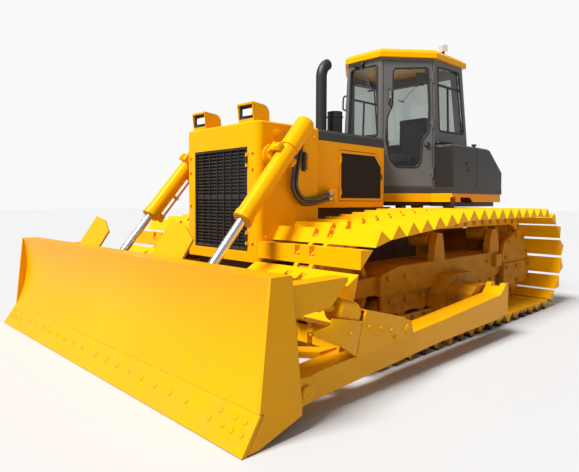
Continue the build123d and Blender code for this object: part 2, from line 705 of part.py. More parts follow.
def hood_side():
    """Left engine side sheet with its door's opening."""
    sheet = block(HOOD_HALF - HOOD_WALL, HOOD_HALF, GUARD_REAR_Y, HOOD_REAR_Y, HOOD_SIDE_BOTTOM, HOOD_LIP)
    sheet -= side_plate(engine_door_outline(SWING_GAP), HOOD_HALF - HOOD_WALL - 1, HOOD_HALF + 1)
    for half in engine_door_hinge(False):
        sheet += half
    return sheet


def engine_door():
    """Left engine door, a frame round a deep-set screen."""
    door = side_plate(engine_door_outline(0), HOOD_HALF - HOOD_WALL, HOOD_HALF)
    door -= side_plate(engine_door_outline(-28), HOOD_HALF - 6, HOOD_HALF + 1)
    for half in engine_door_hinge(True):
        door += half
    return door


ENGINE_HALF = 290


def engine_block():
    return block(
        -ENGINE_HALF, ENGINE_HALF, GUARD_REAR_Y - 220, HOOD_REAR_Y + 100,
        HULL_BOTTOM + 150 + SEAT_GAP, HOOD_LIP - 130)


EXHAUST_Y = -20
EXHAUST_RADIUS = 60
EXHAUST_WALL = 5
EXHAUST_ELBOW = 170     # radius of its elbow
EXHAUST_TURN = 65 * pi / 180
EXHAUST_STRAIGHT = HOOD_TOP + 670


def exhaust():
    """Exhaust stack in its collar on the hood, with an open elbow turned to the rear."""
    def elbow_point(turn):
        return (0, EXHAUST_Y + EXHAUST_ELBOW * (1 - cos(turn)), EXHAUST_STRAIGHT + EXHAUST_ELBOW * sin(turn))

    elbow = ThreePointArc(elbow_point(0), elbow_point(EXHAUST_TURN / 2), elbow_point(EXHAUST_TURN))
    path = Wire([Line((0, EXHAUST_Y, HOOD_TOP + 20), elbow @ 0), elbow])
    pipe = sweep(Plane(origin=path @ 0, z_dir=(0, 0, 1)) * Circle(EXHAUST_RADIUS), path=path)
    start = Plane(origin=elbow @ 0, z_dir=(0, 0, 1))
    pipe -= sweep(start * Circle(EXHAUST_RADIUS - EXHAUST_WALL), path=elbow)
    return pipe + upright(EXHAUST_RADIUS + 16, 0, EXHAUST_Y, HOOD_TOP, HOOD_TOP + 34)


def air_cleaner():
    """Round intake on the hood behind the stack, with a flanged foot and lid."""
    y = EXHAUST_Y + 230
    bowl = upright(85, 0, y, HOOD_TOP, HOOD_TOP + 315)
    for low, high in ((0, 18), (250, 262)):
        bowl += upright(93, 0, y, HOOD_TOP + low, HOOD_TOP + high)
    return bowl


# Hoses between the hood's side and the guard's side
HOSE_RADIUS = 18
HOSE_SEAT = 1.2         # between a hose's end and the piece that holds it
HOSE_ROUTES = [
    # x, then y, z of the inner hose, then y, z of the outer hose
    (566, -480, 1344, -485, 1295),
    (584, -831, 1257, -836, 1208),
    (592, -962, 1319, -996, 1285),
    (600, -1022, 1450, -1071, 1446),
    (604, -918, 1836, -967, 1832),
]


def hose_points(number):
    return [Vector(x, *places[2 * number:2 * number + 2]) for x, *places in HOSE_ROUTES]


def hose(number):
    """A hose along its route, each bend as wide as its two runs allow."""
    points = hose_points(number)
    radii = []
    for last, corner, following in zip(points, points[1:], points[2:]):
        before, after = corner - last, following - corner
        half_turn = before.get_angle(after) * pi / 360
        radii.append(0.45 * min(before.length, after.length) / tan(half_turn))
    path = FilletPolyline(*points, radius=radii)
    return sweep(Plane(origin=path @ 0, z_dir=path % 0) * Circle(HOSE_RADIUS), path=path)


def hose_holder(end, neighbour, low_x, high_x, thick, half):
    """Plate beyond a hose's end, square to its last run."""
    slope = atan2(end.Z - neighbour.Z, end.Y - neighbour.Y)
    corners = [(HOSE_SEAT, -half), (HOSE_SEAT, half), (HOSE_SEAT + thick, half), (HOSE_SEAT + thick, -half)]
    outline = [
        (end.Y + run * cos(slope) + side * sin(slope), end.Z + run * sin(slope) - side * cos(slope))
        for run, side in corners
    ]
    return side_plate(outline, low_x, high_x)


def hose_ports():
    """Port block on the hood's left side, ahead of the engine door."""
    ports = []
    for number in (0, 1):
        first, second = hose_points(number)[:2]
        ports.append(hose_holder(first, second, HOOD_HALF - 1, first.X + 30, 50, 28))
    return ports[0] + ports[1]


def hose_brackets():
    """Plates on the guard's left side that hold the hoses' upper ends."""
    brackets = []
    for number in (0, 1):
        last, before = hose_points(number)[:-3:-1]
        brackets.append(hose_holder(last, before, GUARD_HALF - 1, last.X + 22, 14, 27))
    return brackets[0] + brackets[1]


# Cab

def cab_corners(level):
    half, front, run_x, run_y, rear = CAB_OUTLINES[level]
    side = half + run_x
    return [
        (half, front), (side, front + run_y), (side, rear),
        (-side, rear), (-side, front + run_y), (-half, front),
    ]


def cab_outline(level, grow):
    """Cab outline at a level, grown or shrunk by a distance, as a face."""
    face = make_face(Polyline(*[(x, y, level) for x, y in cab_corners(level)], close=True))
    return offset(face, grow, kind=Kind.INTERSECTION) if grow else face


def face_plane(corner):
    """Plane on the cab's wall that starts at a corner, with X along its foot and Y up the wall."""
    low = cab_corners(CAB_FLOOR)
    high = cab_corners(CAB_EAVES)
    start = Vector(*low[corner], CAB_FLOOR)
    foot = Vector(*low[(corner + 1) % len(low)], CAB_FLOOR) - start
    rise = Vector(*high[corner], CAB_EAVES) - start
    return Plane(origin=start, x_dir=foot, z_dir=foot.cross(rise))


def wall_prism(plane, points, depth, round_corner, start=0.0, grow=0.0):
    """Prism behind a wall plane, from start to depth, with an outline given in the plane."""
    face = make_face(Polyline(*points, close=True))
    if round_corner:
        face = fillet(face.vertices(), round_corner)
    if grow:
        face = offset(face, grow, kind=Kind.ARC if round_corner else Kind.INTERSECTION)
    return plane.offset(-start) * extrude(face, amount=-(depth - start))


WALL_HEIGHT = CAB_EAVES - CAB_FLOOR
# Door and windows: points along the wall's foot and up the wall
DOOR_OUTLINE = [(28, 12), (622, 12), (622, WALL_HEIGHT - 40), (38, WALL_HEIGHT - 40)]
DOOR_WINDOW = [
    (150, 1390), (570, 1410), (590, 960), (580, 660), (500, 560), (480, 300), (440, 240),
    (180, 240), (110, 330), (60, 550), (80, 830), (140, 960),
]
SIDE_WINDOW = [(130, 680), (730, 690), (610, 1450), (100, 1430)]
REAR_WINDOW = [(150, 640), (1234, 640), (1200, 1430), (184, 1430)]
FRONT_WINDOW = [(70, 600), (510, 600), (490, 1440), (90, 1440)]
WINDOW_ROUND = 35
GLASS_INSET = 14


def cab_walls():
    outer = loft([cab_outline(CAB_FLOOR, 0), cab_outline(CAB_EAVES, 0)], ruled=True)
    inner = loft([cab_outline(CAB_FLOOR, -CAB_WALL), cab_outline(CAB_EAVES, -CAB_WALL)], ruled=True)
    return outer - inner


def door_slab(grow):
    return wall_prism(face_plane(0), DOOR_OUTLINE, CAB_WALL + 40, 0, start=-5, grow=grow)


def door_window(grow, start, depth):
    return wall_prism(face_plane(0), DOOR_WINDOW, depth, WINDOW_ROUND, start, grow)


def fixed_windows(grow, start, depth):
    """Prisms through the side, rear and front windows."""
    side = wall_prism(face_plane(1), SIDE_WINDOW, depth, WINDOW_ROUND, start, grow)
    rear = wall_prism(face_plane(2), REAR_WINDOW, depth, WINDOW_ROUND, start, grow)
    front = wall_prism(face_plane(5), FRONT_WINDOW, depth, WINDOW_ROUND, start, grow)
    return [side, other_side(side), rear, front]


CAB_DOOR_REAR = 622
CAB_DOOR_HINGES = (180, 760, 1300)


def cab_door_hinge(swings):
    wall = face_plane(0)
    origin = wall.origin + wall.x_dir * (CAB_DOOR_REAR + SWING_GAP / 2)
    return hinge(Plane(origin=origin, x_dir=wall.x_dir, z_dir=wall.z_dir), CAB_DOOR_HINGES, swings)


def cab_shell():
    walls = cab_walls()
    hole = door_slab(SWING_GAP)
    walls = walls - hole - other_side(hole)
    for prism in fixed_windows(0, -5, CAB_WALL + 40):
        walls -= prism
    for half in cab_door_hinge(False):
        walls += half
        walls += other_side(half)
    return walls


def cab_door():
    """Left door, as thick as the cab's wall, with its window cut."""
    door = (cab_walls() & door_slab(0)) - door_window(0, -5, CAB_WALL + 40)
    for half in cab_door_hinge(True):
        door += half
    return door


def door_glass():
    return door_window(-SEAT_GAP, GLASS_INSET, GLASS_INSET + GLASS_THICK)


def cab_roof():
    slab = extrude(cab_outline(CAB_EAVES, CAB_ROOF_LAP), amount=CAB_ROOF_THICK, dir=(0, 0, 1))
    return chamfer(slab.faces().sort_by(Axis.Z)[-1].edges(), 45)


# Deck, side boxes and fuel tank

def deck_corners(grow):
    (x0, y0), (x1, y1) = cab_corners(CAB_FLOOR)[:2]
    lead = (y1 - y0) / (x1 - x0)
    x_meet = x1 - 20
    y_meet = y0 + (x_meet - x0) * lead
    return [
        (-x0, y0), (x0, y0), (x_meet, y_meet), (DECK_HALF - grow, y_meet), (DECK_HALF - grow, REAR_Y - grow),
        (-DECK_HALF + grow, REAR_Y - grow), (-DECK_HALF + grow, y_meet), (-x_meet, y_meet),
    ]


def floor_deck():
    return flat_plate(deck_corners(0), DECK_BOTTOM, CAB_FLOOR)


SKIRT_STEP_Y = CASE_FRONT_Y + 430


def deck_skirt():
    """Yellow frame under the deck, a closed ring of plates with two cross members."""
    outline = deck_corners(12)
    ring = make_face(Polyline(*[(x, y, SKIRT_BOTTOM) for x, y in outline], close=True))
    ring -= offset(ring, -14, kind=Kind.INTERSECTION)
    skirt = extrude(ring, amount=DECK_BOTTOM - SKIRT_BOTTOM, dir=(0, 0, 1))
    step = DECK_BOTTOM - SKIRT_HEIGHT * 0.45
    window = side_plate(
        [
            (FRONT_WALL_Y + 60, SKIRT_BOTTOM - 1), (FRONT_WALL_Y + 120, step), (SKIRT_STEP_Y - 60, step),
            (SKIRT_STEP_Y, SKIRT_BOTTOM - 1),
        ],
        DECK_HALF - 40, DECK_HALF + 1)
    skirt = skirt - window - other_side(window)
    for y in (CASE_FRONT_Y + 30, CASE_REAR_Y - 390):
        skirt += block(-DECK_HALF + 25, DECK_HALF - 25, y, y + 120, SKIRT_BOTTOM, DECK_BOTTOM)
    return skirt


def side_box():
    """Left box beside the cab, sloping down at the rear."""
    x0 = cab_corners(CAB_FLOOR)[1][0] + SEAT_GAP
    box = side_plate(
        [
            (1190, CAB_FLOOR), (1150, BOX_TOP - 30), (1180, BOX_TOP), (2060, BOX_TOP), (REAR_Y - 5, 1640), (REAR_Y - 5, CAB_FLOOR),
        ],
        x0, DECK_HALF - 2,
    )
    # The corner next to the cab is clipped, which lets the cab door swing
    clip = flat_plate([(x0 - 1, 1200), (785, 1126), (785, 1100), (x0 - 1, 1100)], CAB_FLOOR - 1, BOX_TOP + 1)
    box = box - clip
    return chamfer(box.edges().filter_by(Axis.Y).sort_by(lambda edge: edge.center().X + edge.center().Z)[-1], 22)


def fuel_tank():
    x1 = cab_corners(CAB_FLOOR)[1][0]
    low_rear = CAB_OUTLINES[CAB_FLOOR][4]
    high_rear = low_rear - (low_rear - CAB_OUTLINES[CAB_EAVES][4]) * (BOX_TOP - 40 - CAB_FLOOR) / WALL_HEIGHT
    return side_plate(
        [
            (low_rear + SEAT_GAP, CAB_FLOOR), (high_rear + SEAT_GAP, BOX_TOP - 40), (2060, BOX_TOP - 40), (REAR_Y - 5, 1620), (REAR_Y - 5, CAB_FLOOR),
        ],
        -x1, x1,
    )


# Operator's place

SEAT_BASE = 330


def seat_frame():
    """Seat pedestal, wider at its foot, with a ribbed bellows between two plates."""
    plates = block(-200, 200, 1470, 1840, CAB_FLOOR, CAB_FLOOR + 30)
    plates += block(-190, 190, 1480, 1830, CAB_FLOOR + SEAT_BASE - 30, CAB_FLOOR + SEAT_BASE)
    for number in range(5):
        shrink = 30 if number % 2 else 12
        low = CAB_FLOOR + 30 + number * (SEAT_BASE - 60) / 5
        plates += block(-190 + shrink, 190 - shrink, 1480 + shrink, 1830 - shrink, low, low + (SEAT_BASE - 60) / 5)
    return plates


def seat_cushions():
    """Seat cushion and a leaning back cushion, joined at the back of the seat."""
    floor = CAB_FLOOR + SEAT_BASE + SEAT_GAP
    pad = block(-240, 240, 1400, 1800, floor, floor + 120)
    pad = fillet(pad.edges().filter_by(Axis.Z).group_by(Axis.Y)[0], 70)
    back = side_plate(
        [(1770, floor + 60), (1850, floor + 60), (1900, floor + 640), (1830, floor + 640)], -225, 225)
    back = fillet(back.edges().group_by(Axis.Z)[-1].filter_by(Axis.Y), 60)
    return pad + back


def dashboard():
    y = FRONT_WALL_Y + CAB_WALL + 12
    return side_plate(
        [
            (y, CAB_FLOOR), (y + 200, CAB_FLOOR), (y + 230, CAB_FLOOR + 560), (y + 130, CAB_FLOOR + 640),
            (y + 35, CAB_FLOOR + 640),
        ],
        -190, 190,
    )


def console(sign):
    """Box beside the seat with its control lever."""
    x0, x1 = sorted((sign * 300, sign * 460))
    box = block(x0, x1, 1400, 1860, CAB_FLOOR, CAB_FLOOR + 480)
    box += upright(14, sign * 380, 1470, CAB_FLOOR + 479, CAB_FLOOR + 640)
    return box + Pos(sign * 380, 1470, CAB_FLOOR + 650) * Sphere(32)


def roof_lamp():
    """Work lamp on a bent foot at the roof's left edge, its square head tipped up, and a lifting eye."""
    z = CAB_EAVES + CAB_ROOF_THICK
    foot = block(560, 620, 1500, 1570, z, z + 10) + block(585, 600, 1510, 1560, z + 9, z + 60)
    head = Pos(592, 1535, z + 88) * Rot(18, 0, -35) * Box(110, 60, 80)
    eye = side_plate([(1180, z), (1250, z), (1240, z + 34), (1190, z + 34)], 330, 342)
    return [foot + head, eye - cross_rod(9, 329, 343, 1215, z + 19)]


# Blade

FACE_LOW = (-2590, 185)
RAIL_BACK_Y = -2370
FOOT_BACK_Y = -2290
BRACE_FOOT_Y = FOOT_BACK_Y + 2 * SEAT_GAP


def face_curve(shift):
    """Blade face as an arc in the (y, z) plane, moved back by a distance."""
    top = (BLADE_FRONT_Y + shift, BLADE_TOP)
    low = (FACE_LOW[0] + shift, FACE_LOW[1])
    middle = ((top[0] + low[0]) / 2 + BLADE_HOLLOW, (top[1] + low[1]) / 2)
    return top, middle, low


def face_point(z, shift=0.0):
    """Y of the blade face at a height."""
    top, middle, low = face_curve(shift)
    share = (z - low[1]) / (top[1] - low[1])
    chord = low[0] + share * (top[0] - low[0])
    return chord + 4 * share * (1 - share) * BLADE_HOLLOW


def moldboard():
    """Curved face plate with its top and bottom box rails, ribs, end plates and lift brackets."""
    top, middle, low = face_curve(0)
    back = face_curve(BLADE_SKIN)
    half = BLADE_HALF - 20
    front_arc = ThreePointArc((-half, *top), (-half, *middle), (-half, *low))
    back_arc = ThreePointArc((-half, *back[2]), (-half, *back[1]), (-half, *back[0]))
    edges = [front_arc, Line(front_arc @ 1, back_arc @ 0), back_arc, Line(back_arc @ 1, front_arc @ 0)]
    blade = extrude(make_face(edges), amount=2 * half, dir=(1, 0, 0))
    skin = BLADE_SKIN - 2
    blade += side_plate(
        [
            (face_point(BLADE_TOP, skin), BLADE_TOP), (RAIL_BACK_Y, BLADE_TOP), (RAIL_BACK_Y, 750),
            (face_point(700, skin), 700),
        ],
        -half, half,
    )
    blade += side_plate(
        [
            (face_point(FACE_LOW[1], skin), FACE_LOW[1]), (face_point(400, skin), 400),
            (FOOT_BACK_Y - 60, 340), (FOOT_BACK_Y, 290), (FOOT_BACK_Y, 120), (FACE_LOW[0] + 60, 90),
            (FACE_LOW[0] + skin, 150),
        ],
        -half, half,
    )
    for x in (-1450, -1050, -350, 0, 350, 1050, 1450):
        blade += side_plate(
            [
                (face_point(401, skin), 401), (face_point(699, skin), 699), (RAIL_BACK_Y - 10, 760),
                (RAIL_BACK_Y - 10, 700), (FOOT_BACK_Y - 70, 335),
            ],
            x - 10, x + 10,
        )
    end = [
        (BLADE_FRONT_Y - 3, BLADE_TOP), (RAIL_BACK_Y, BLADE_TOP), (FOOT_BACK_Y, 170), (FOOT_BACK_Y, 100),
        (BLADE_TIP_Y + 110, EDGE_LIFT + 6), (BLADE_TIP_Y + 36, EDGE_LIFT + 6), (FACE_LOW[0] + 26, FACE_LOW[1] - 1),
        (FACE_LOW[0] - 1, FACE_LOW[1] + 4),
    ]
    for sign in (-1, 1):
        x0, x1 = sorted((sign * half, sign * BLADE_HALF))
        blade += side_plate(end, x0, x1)
    return blade


END_BIT = 400           # width of each end bit
EDGE_THICK = 13
BIT_THICK = 17


def blade_edges():
    """Bolted cutting edge in two sections and two thicker end bits, seated on the blade's foot."""
    foot = FACE_LOW[0]
    top = FACE_LOW[1] - SEAT_GAP
    seams = [-BLADE_HALF, -BLADE_HALF + END_BIT, 0, BLADE_HALF - END_BIT, BLADE_HALF]
    pieces = []
    for number, (x0, x1) in enumerate(zip(seams, seams[1:])):
        bit = number in (0, len(seams) - 2)
        back = BIT_THICK if bit else EDGE_THICK
        section = [
            (foot - 1, top), (BLADE_TIP_Y, EDGE_LIFT), (BLADE_TIP_Y + back + 13, EDGE_LIFT), (foot - 1 + back, top - 8),
            (foot - 1 + back, top),
        ]
        pieces.append(side_plate(section, x0 + SEAT_GAP / 2, x1 - SEAT_GAP / 2))
    return pieces


# Lift cylinders

def lift_slope():
    return atan2(LIFT_TRUNNION[1] - LIFT_EYE[1], LIFT_TRUNNION[0] - LIFT_EYE[0])


HEAD_STEP = 10          # the barrel is thicker from its trunnion up
YOKE_EAR = 24
TUBE_RADIUS = 11
TUBE_CLAMPS = (150, 400, 640)   # below the trunnion, along the barrel


def across(point, distance, slope):
    """Point (y, z) a distance behind and below the barrel's axis."""
    return (point[0] + distance * sin(slope), point[1] - distance * cos(slope))


def barrel_block(x0, x1, start, end, near, far):
    """Block fixed on the left barrel: start and end along it from the trunnion, near and far behind its axis."""
    slope = lift_slope()
    corners = [(start, near), (end, near), (end, far), (start, far)]
    return side_plate([across(along(LIFT_TRUNNION, run, slope), rise, slope) for run, rise in corners], x0, x1)


def lift_barrel():
    """Left lift cylinder barrel with its head, gland, trunnion yoke and oil tube."""
    slope = lift_slope()
    start = along(LIFT_TRUNNION, -BARREL_TOP, slope)
    barrel = slanted_rod(BARREL_RADIUS, along(start, 1, slope), BARREL_TOP + BARREL_BOTTOM - 1, slope, LIFT_X)
    head = slanted_rod(BARREL_RADIUS + HEAD_STEP, start, BARREL_TOP - 70, slope, LIFT_X)
    barrel += chamfer(head.edges().sort_by(Axis.Z)[-1], 18)
    gland = along(LIFT_TRUNNION, BARREL_BOTTOM - 60, slope)
    barrel += slanted_rod(BARREL_RADIUS + 8, gland, 55, slope, LIFT_X)
    yoke = BARREL_RADIUS + 12
    inner = TRUNNION_FACE + 5
    barrel += barrel_block(inner, inner + 22, -60, 60, -yoke - YOKE_EAR, yoke + YOKE_EAR)
    for near in (-yoke - YOKE_EAR, yoke):
        barrel += barrel_block(inner, LIFT_X + 34, -38, 38, near, near + YOKE_EAR)
    barrel += barrel_block(LIFT_X - 28, LIFT_X + 28, -26, 26, -yoke - YOKE_EAR - 12, yoke + YOKE_EAR + 12)
    tube_x = LIFT_X - 40
    tube_drop = BARREL_RADIUS + 26
    tube = across(along(LIFT_TRUNNION, 95, slope), tube_drop, slope)
    barrel += slanted_rod(TUBE_RADIUS, tube, BARREL_BOTTOM - 115, slope, tube_x)
    barrel += barrel_block(tube_x - 20, tube_x + 20, BARREL_BOTTOM - 50, BARREL_BOTTOM - 15, 50, tube_drop + 16)
    for run in TUBE_CLAMPS:
        barrel += barrel_block(tube_x - 15, tube_x + 15, run - 12, run + 12, 50, tube_drop + 14)
    barrel += cross_rod(TRUNNION_RADIUS - PIN_GAP, TRUNNION_FACE - TRUNNION_DEPTH + 2, LIFT_X, *LIFT_TRUNNION)
    mouth = along(LIFT_TRUNNION, -BARREL_TOP + 80, slope)
    return barrel - slanted_rod(ROD_RADIUS + PIN_GAP, mouth, BARREL_TOP + BARREL_BOTTOM, slope, LIFT_X)


def lift_rod():
    """Left lift rod, from inside its barrel to the eye at the blade."""
    slope = lift_slope()
    reach = hypot(LIFT_TRUNNION[0] - LIFT_EYE[0], LIFT_TRUNNION[1] - LIFT_EYE[1])
    start = along(LIFT_TRUNNION, reach - ROD_LENGTH, slope)
    rod = slanted_rod(ROD_RADIUS, start, ROD_LENGTH, slope, LIFT_X)
    rod += cross_rod(62, LIFT_X - EYE_HALF, LIFT_X + EYE_HALF, *LIFT_EYE)
    return rod


def lift_cheeks():
    """Bracket plates on the blade's back, either side of the left rod's eye."""
    eye_y, eye_z = LIFT_EYE
    cheeks = []
    for x0 in (LIFT_X - EYE_HALF - 6 - 26, LIFT_X + EYE_HALF + 6):
        cheeks.append(side_plate(
            [
                (face_point(eye_z + 130, BLADE_SKIN - 2), eye_z + 130), (face_point(401, BLADE_SKIN - 2), 401),
                (FOOT_BACK_Y - 70, 335), (eye_y + 10, eye_z - 75), (eye_y + 62, eye_z - 20), (eye_y + 45, eye_z + 42),
                (eye_y - 20, eye_z + 90),
            ],
            x0, x0 + 26,
        ))
    return cheeks


# Push arms and the tilt cylinder

ARM_FRONT = (-2225, 200)
CAP_LUG = 34            # height of the lugs that clamp the arm's cap over the ball


def push_arm():
    """Left push arm: a box beam that bends down to the blade, a socket at the rear and a diagonal brace."""
    pivot_y, pivot_z = BLADE_PIVOT
    arm = side_plate(
        [
            (pivot_y + 15, pivot_z - 115), (350, 205), (-720, 190), (-2100, 120), (ARM_FRONT[0] - 40, 130),
            (ARM_FRONT[0] - 62, 200), (ARM_FRONT[0] - 40, 260), (-2100, 275), (-720, 350), (350, 420),
            (pivot_y - 70, pivot_z + 115), (pivot_y - 50, pivot_z + 115 + CAP_LUG), (pivot_y + 15, pivot_z + 115 + CAP_LUG),
        ],
        ARM_INNER, ARM_OUTER,
    )
    arm -= block(ARM_INNER + 50, ARM_OUTER - 50, pivot_y - 80, pivot_y + 16, pivot_z + 116, pivot_z + 116 + CAP_LUG)
    arm -= cross_rod(PIVOT_SHAFT + PIN_GAP, ARM_INNER - 1, ARM_MIDDLE, pivot_y, pivot_z)
    arm -= Pos(ARM_MIDDLE, pivot_y, pivot_z) * Sphere(PIVOT_BALL + PIN_GAP)
    for plate in tilt_guard():
        arm += plate
    return arm + arm_brace()


def arm_brace():
    """Flat diagonal strut from the left arm's inner side to the blade's back, in front of the track."""
    low = 270
    outline = [(ARM_INNER + 1, -1720), (ARM_INNER + 1, -1880), (ARM_INNER - 440, BRACE_FOOT_Y), (ARM_INNER - 640, BRACE_FOOT_Y)]
    strut = flat_plate(outline, low, low + 40)
    lug = block(ARM_INNER - 650, ARM_INNER - 430, BRACE_FOOT_Y - SEAT_GAP, BRACE_FOOT_Y + 30, low - 60, low + 100)
    return strut + lug


def arm_fork():
    """Plates on the blade's back that hold the left arm's front pin."""
    plates = []
    for x0, x1 in ((ARM_INNER - 30, ARM_INNER - SEAT_GAP), (ARM_OUTER + SEAT_GAP, ARM_OUTER + 30)):
        plates.append(side_plate(
            [
                (FOOT_BACK_Y - 1, 120), (ARM_FRONT[0] + 50, 130), (ARM_FRONT[0] + 90, 200), (ARM_FRONT[0] + 50, 275),
                (FOOT_BACK_Y - 1, 290),
            ],
            x0, x1,
        ))
    return plates


TILT_X = ARM_INNER + 120
TILT_REAR = (-1200, 380)
TILT_JACKET = (545, 745)        # along the cylinder from its rear pin
TILT_FRONT = (-2050, 660)
TILT_CHEEK_GAP = 42     # half the space between the cheeks that hold the tilt eyes
TILT_CHEEK = 22


def tilt_bracket():
    """Wedge-shaped bracket on the blade's back: two cheeks under one top plate."""
    outline = [(RAIL_BACK_Y - 1, 800), (-1830, 800), (-1830, 775), (-1980, 640), (RAIL_BACK_Y - 1, 610)]
    bracket = block(TILT_X - 64, TILT_X + 64, RAIL_BACK_Y - 1, -1830, 780, 800)
    for x0 in (TILT_X - TILT_CHEEK_GAP - TILT_CHEEK, TILT_X + TILT_CHEEK_GAP):
        bracket += side_plate(outline, x0, x0 + TILT_CHEEK)
    return bracket


def tilt_guard():
    """Cheek plates on the push arm's top, either side of the tilt cylinder's rear end."""
    outline = [(-1660, 565), (-1225, 450), (-1150, 430), (-1120, 330), (-1160, 320), (-1760, 290), (-1705, 480)]
    inner = TILT_X - TILT_CHEEK_GAP - TILT_CHEEK - 24
    outer = TILT_X + TILT_CHEEK_GAP + 16
    cover = side_plate([(-1660, 565), (-1225, 450), (-1225, 464), (-1662, 579)], inner, outer + TILT_CHEEK)
    return [cover, *[side_plate(outline, x0, x0 + TILT_CHEEK) for x0 in (inner, outer)]]


def tilt_link(jacket_radius, rod_radius):
    """Cylinder or screw brace between the push arm and the blade's top, with a pin at each end."""
    slope = atan2(TILT_REAR[1] - TILT_FRONT[1], TILT_REAR[0] - TILT_FRONT[0])
    reach = hypot(TILT_REAR[0] - TILT_FRONT[0], TILT_REAR[1] - TILT_FRONT[1])
    link = slanted_rod(rod_radius, along(TILT_REAR, 20, slope), reach - 40, slope, TILT_X)
    start, end = TILT_JACKET
    jacket = slanted_rod(jacket_radius, along(TILT_REAR, start, slope), end - start, slope, TILT_X)
    link += chamfer(jacket.edges().sort_by(Axis.Y)[0], jacket_radius / 4)
    for (y, z), half in ((TILT_REAR, TILT_CHEEK_GAP + 16 - SEAT_GAP), (TILT_FRONT, TILT_CHEEK_GAP - SEAT_GAP)):
        link += cross_rod(48, TILT_X - half + 8, TILT_X + half - 8, y, z)
        link += cross_rod(24, TILT_X - half, TILT_X + half, y, z)
    return link


def blade_brackets(blade):
    """Welded fittings on the blade's back, cut to its faces: lift cheeks, arm forks and tilt brackets."""
    left = [*lift_cheeks(), *arm_fork(), tilt_bracket()]
    return [plate - blade for piece in left for plate in (piece, other_side(piece))]


# Plates that lean back from the blade's top rail and keep spill off the lift rods
SHIELD_WIDTH = 420
SHIELD_THICK = 16
SHIELD_HIGH = 385       # along the plate, from inside the rail to its tip
SHIELD_LEAN = 56.0      # degrees from level
SHIELD_INNER = LIFT_X - 270
SHIELD_FOOT = (RAIL_BACK_Y - 22, BLADE_TOP - 80)


def rod_shield(x0, blade):
    """Plate on the blade's top rail, leaning back, with its left corner clipped."""
    lean = SHIELD_LEAN * pi / 180
    plane = Plane(origin=(x0, *SHIELD_FOOT), x_dir=(1, 0, 0), z_dir=(0, -sin(lean), cos(lean)))
    outline = [
        (0, 0), (SHIELD_WIDTH, 0), (SHIELD_WIDTH, SHIELD_HIGH * 0.62),
        (SHIELD_WIDTH * 0.52, SHIELD_HIGH * 0.9), (0, SHIELD_HIGH),
    ]
    return plane * extrude(make_face(Polyline(*outline, close=True)), amount=SHIELD_THICK) - blade


os.makedirs("parts", exist_ok=True)

left_track = track()
save("track_left", left_track)
save("track_right", other_side(left_track))
left_frame = track_frame()
save("track_frame_left", left_frame)
save("track_frame_right", other_side(left_frame))
left_idler = idler()
save("idlers", left_idler, other_side(left_idler))
left_sprocket = sprocket()
save("sprockets", left_sprocket, other_side(left_sprocket))
left_drive = final_drive()
save("final_drives", left_drive, other_side(left_drive))
left_rollers = lower_rollers() + carrier_rollers()
save("rollers", *left_rollers, *[other_side(roller) for roller in left_rollers])
save("main_frame", main_frame())
save("rear_case", rear_case())
save("drawbar", drawbar())
save("equalizer_bar", equalizer_bar())
save("engine_block", engine_block())
save("radiator_core", radiator_core())
left_brackets = hose_brackets()
save("radiator_guard", radiator_guard() + left_brackets + other_side(left_brackets))
left_bracket = trunnion_bracket()
save("trunnion_brackets", left_bracket, other_side(left_bracket))
save("grille_door", grille())
left_lamp = lamp_housing()
save("headlamp_hoods", left_lamp, other_side(left_lamp))
left_lens = lamp_lens()
save("headlamp_lenses", left_lens, other_side(left_lens))
save("hood_top", hood_top())
left_sheet = hood_side() + hose_ports()
save("hood_sides", left_sheet, other_side(left_sheet))
left_engine_door = engine_door()
save("engine_door_left", left_engine_door)
save("engine_door_right", other_side(left_engine_door))
save("exhaust_stack", exhaust())
save("air_cleaner", air_cleaner())
save("cab_shell", cab_shell())
save("cab_windows", *fixed_windows(-SEAT_GAP, GLASS_INSET, GLASS_INSET + GLASS_THICK))
left_door = cab_door()
save("cab_door_left", left_door)
save("cab_door_right", other_side(left_door))
left_glass = door_glass()
save("cab_door_glass_left", left_glass)
save("cab_door_glass_right", other_side(left_glass))
save("cab_roof", cab_roof())
save("floor_deck", floor_deck())
save("deck_skirt", deck_skirt())
left_box = side_box()
save("side_box_left", left_box)
save("side_box_right", other_side(left_box))
save("fuel_tank", fuel_tank())
save("seat_base", seat_frame())
save("seat_cushions", seat_cushions())
save("dashboard", dashboard())
save("consoles", console(-1), console(1))
save("roof_lamp", *roof_lamp())
blade = moldboard()
save("moldboard", blade)
save("blade_brackets", *blade_brackets(blade))
save("rod_shields", *[rod_shield(x0, blade) for x0 in (-SHIELD_INNER - SHIELD_WIDTH + 10, SHIELD_INNER)])
save("blade_edges", *blade_edges())
left_arm = push_arm()
save("push_arm_left", left_arm)
save("push_arm_right", other_side(left_arm))
save("tilt_cylinder", tilt_link(75, 30))
save("tilt_brace", other_side(tilt_link(52, 30)))
for number in (0, 1):
    left_hose = hose(number)
    save(f"hose_left_{number + 1}", left_hose)
    save(f"hose_right_{number + 1}", other_side(left_hose))
left_barrel = lift_barrel()
save("lift_barrel_left", left_barrel)
save("lift_barrel_right", other_side(left_barrel))
left_rod = lift_rod()
save("lift_rod_left", left_rod)
save("lift_rod_right", other_side(left_rod))
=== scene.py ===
"""A crawler bulldozer for soft ground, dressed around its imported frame. Metres, Z up, blade towards -Y."""
import math

import bmesh
import bpy
from mathutils import Matrix, Vector


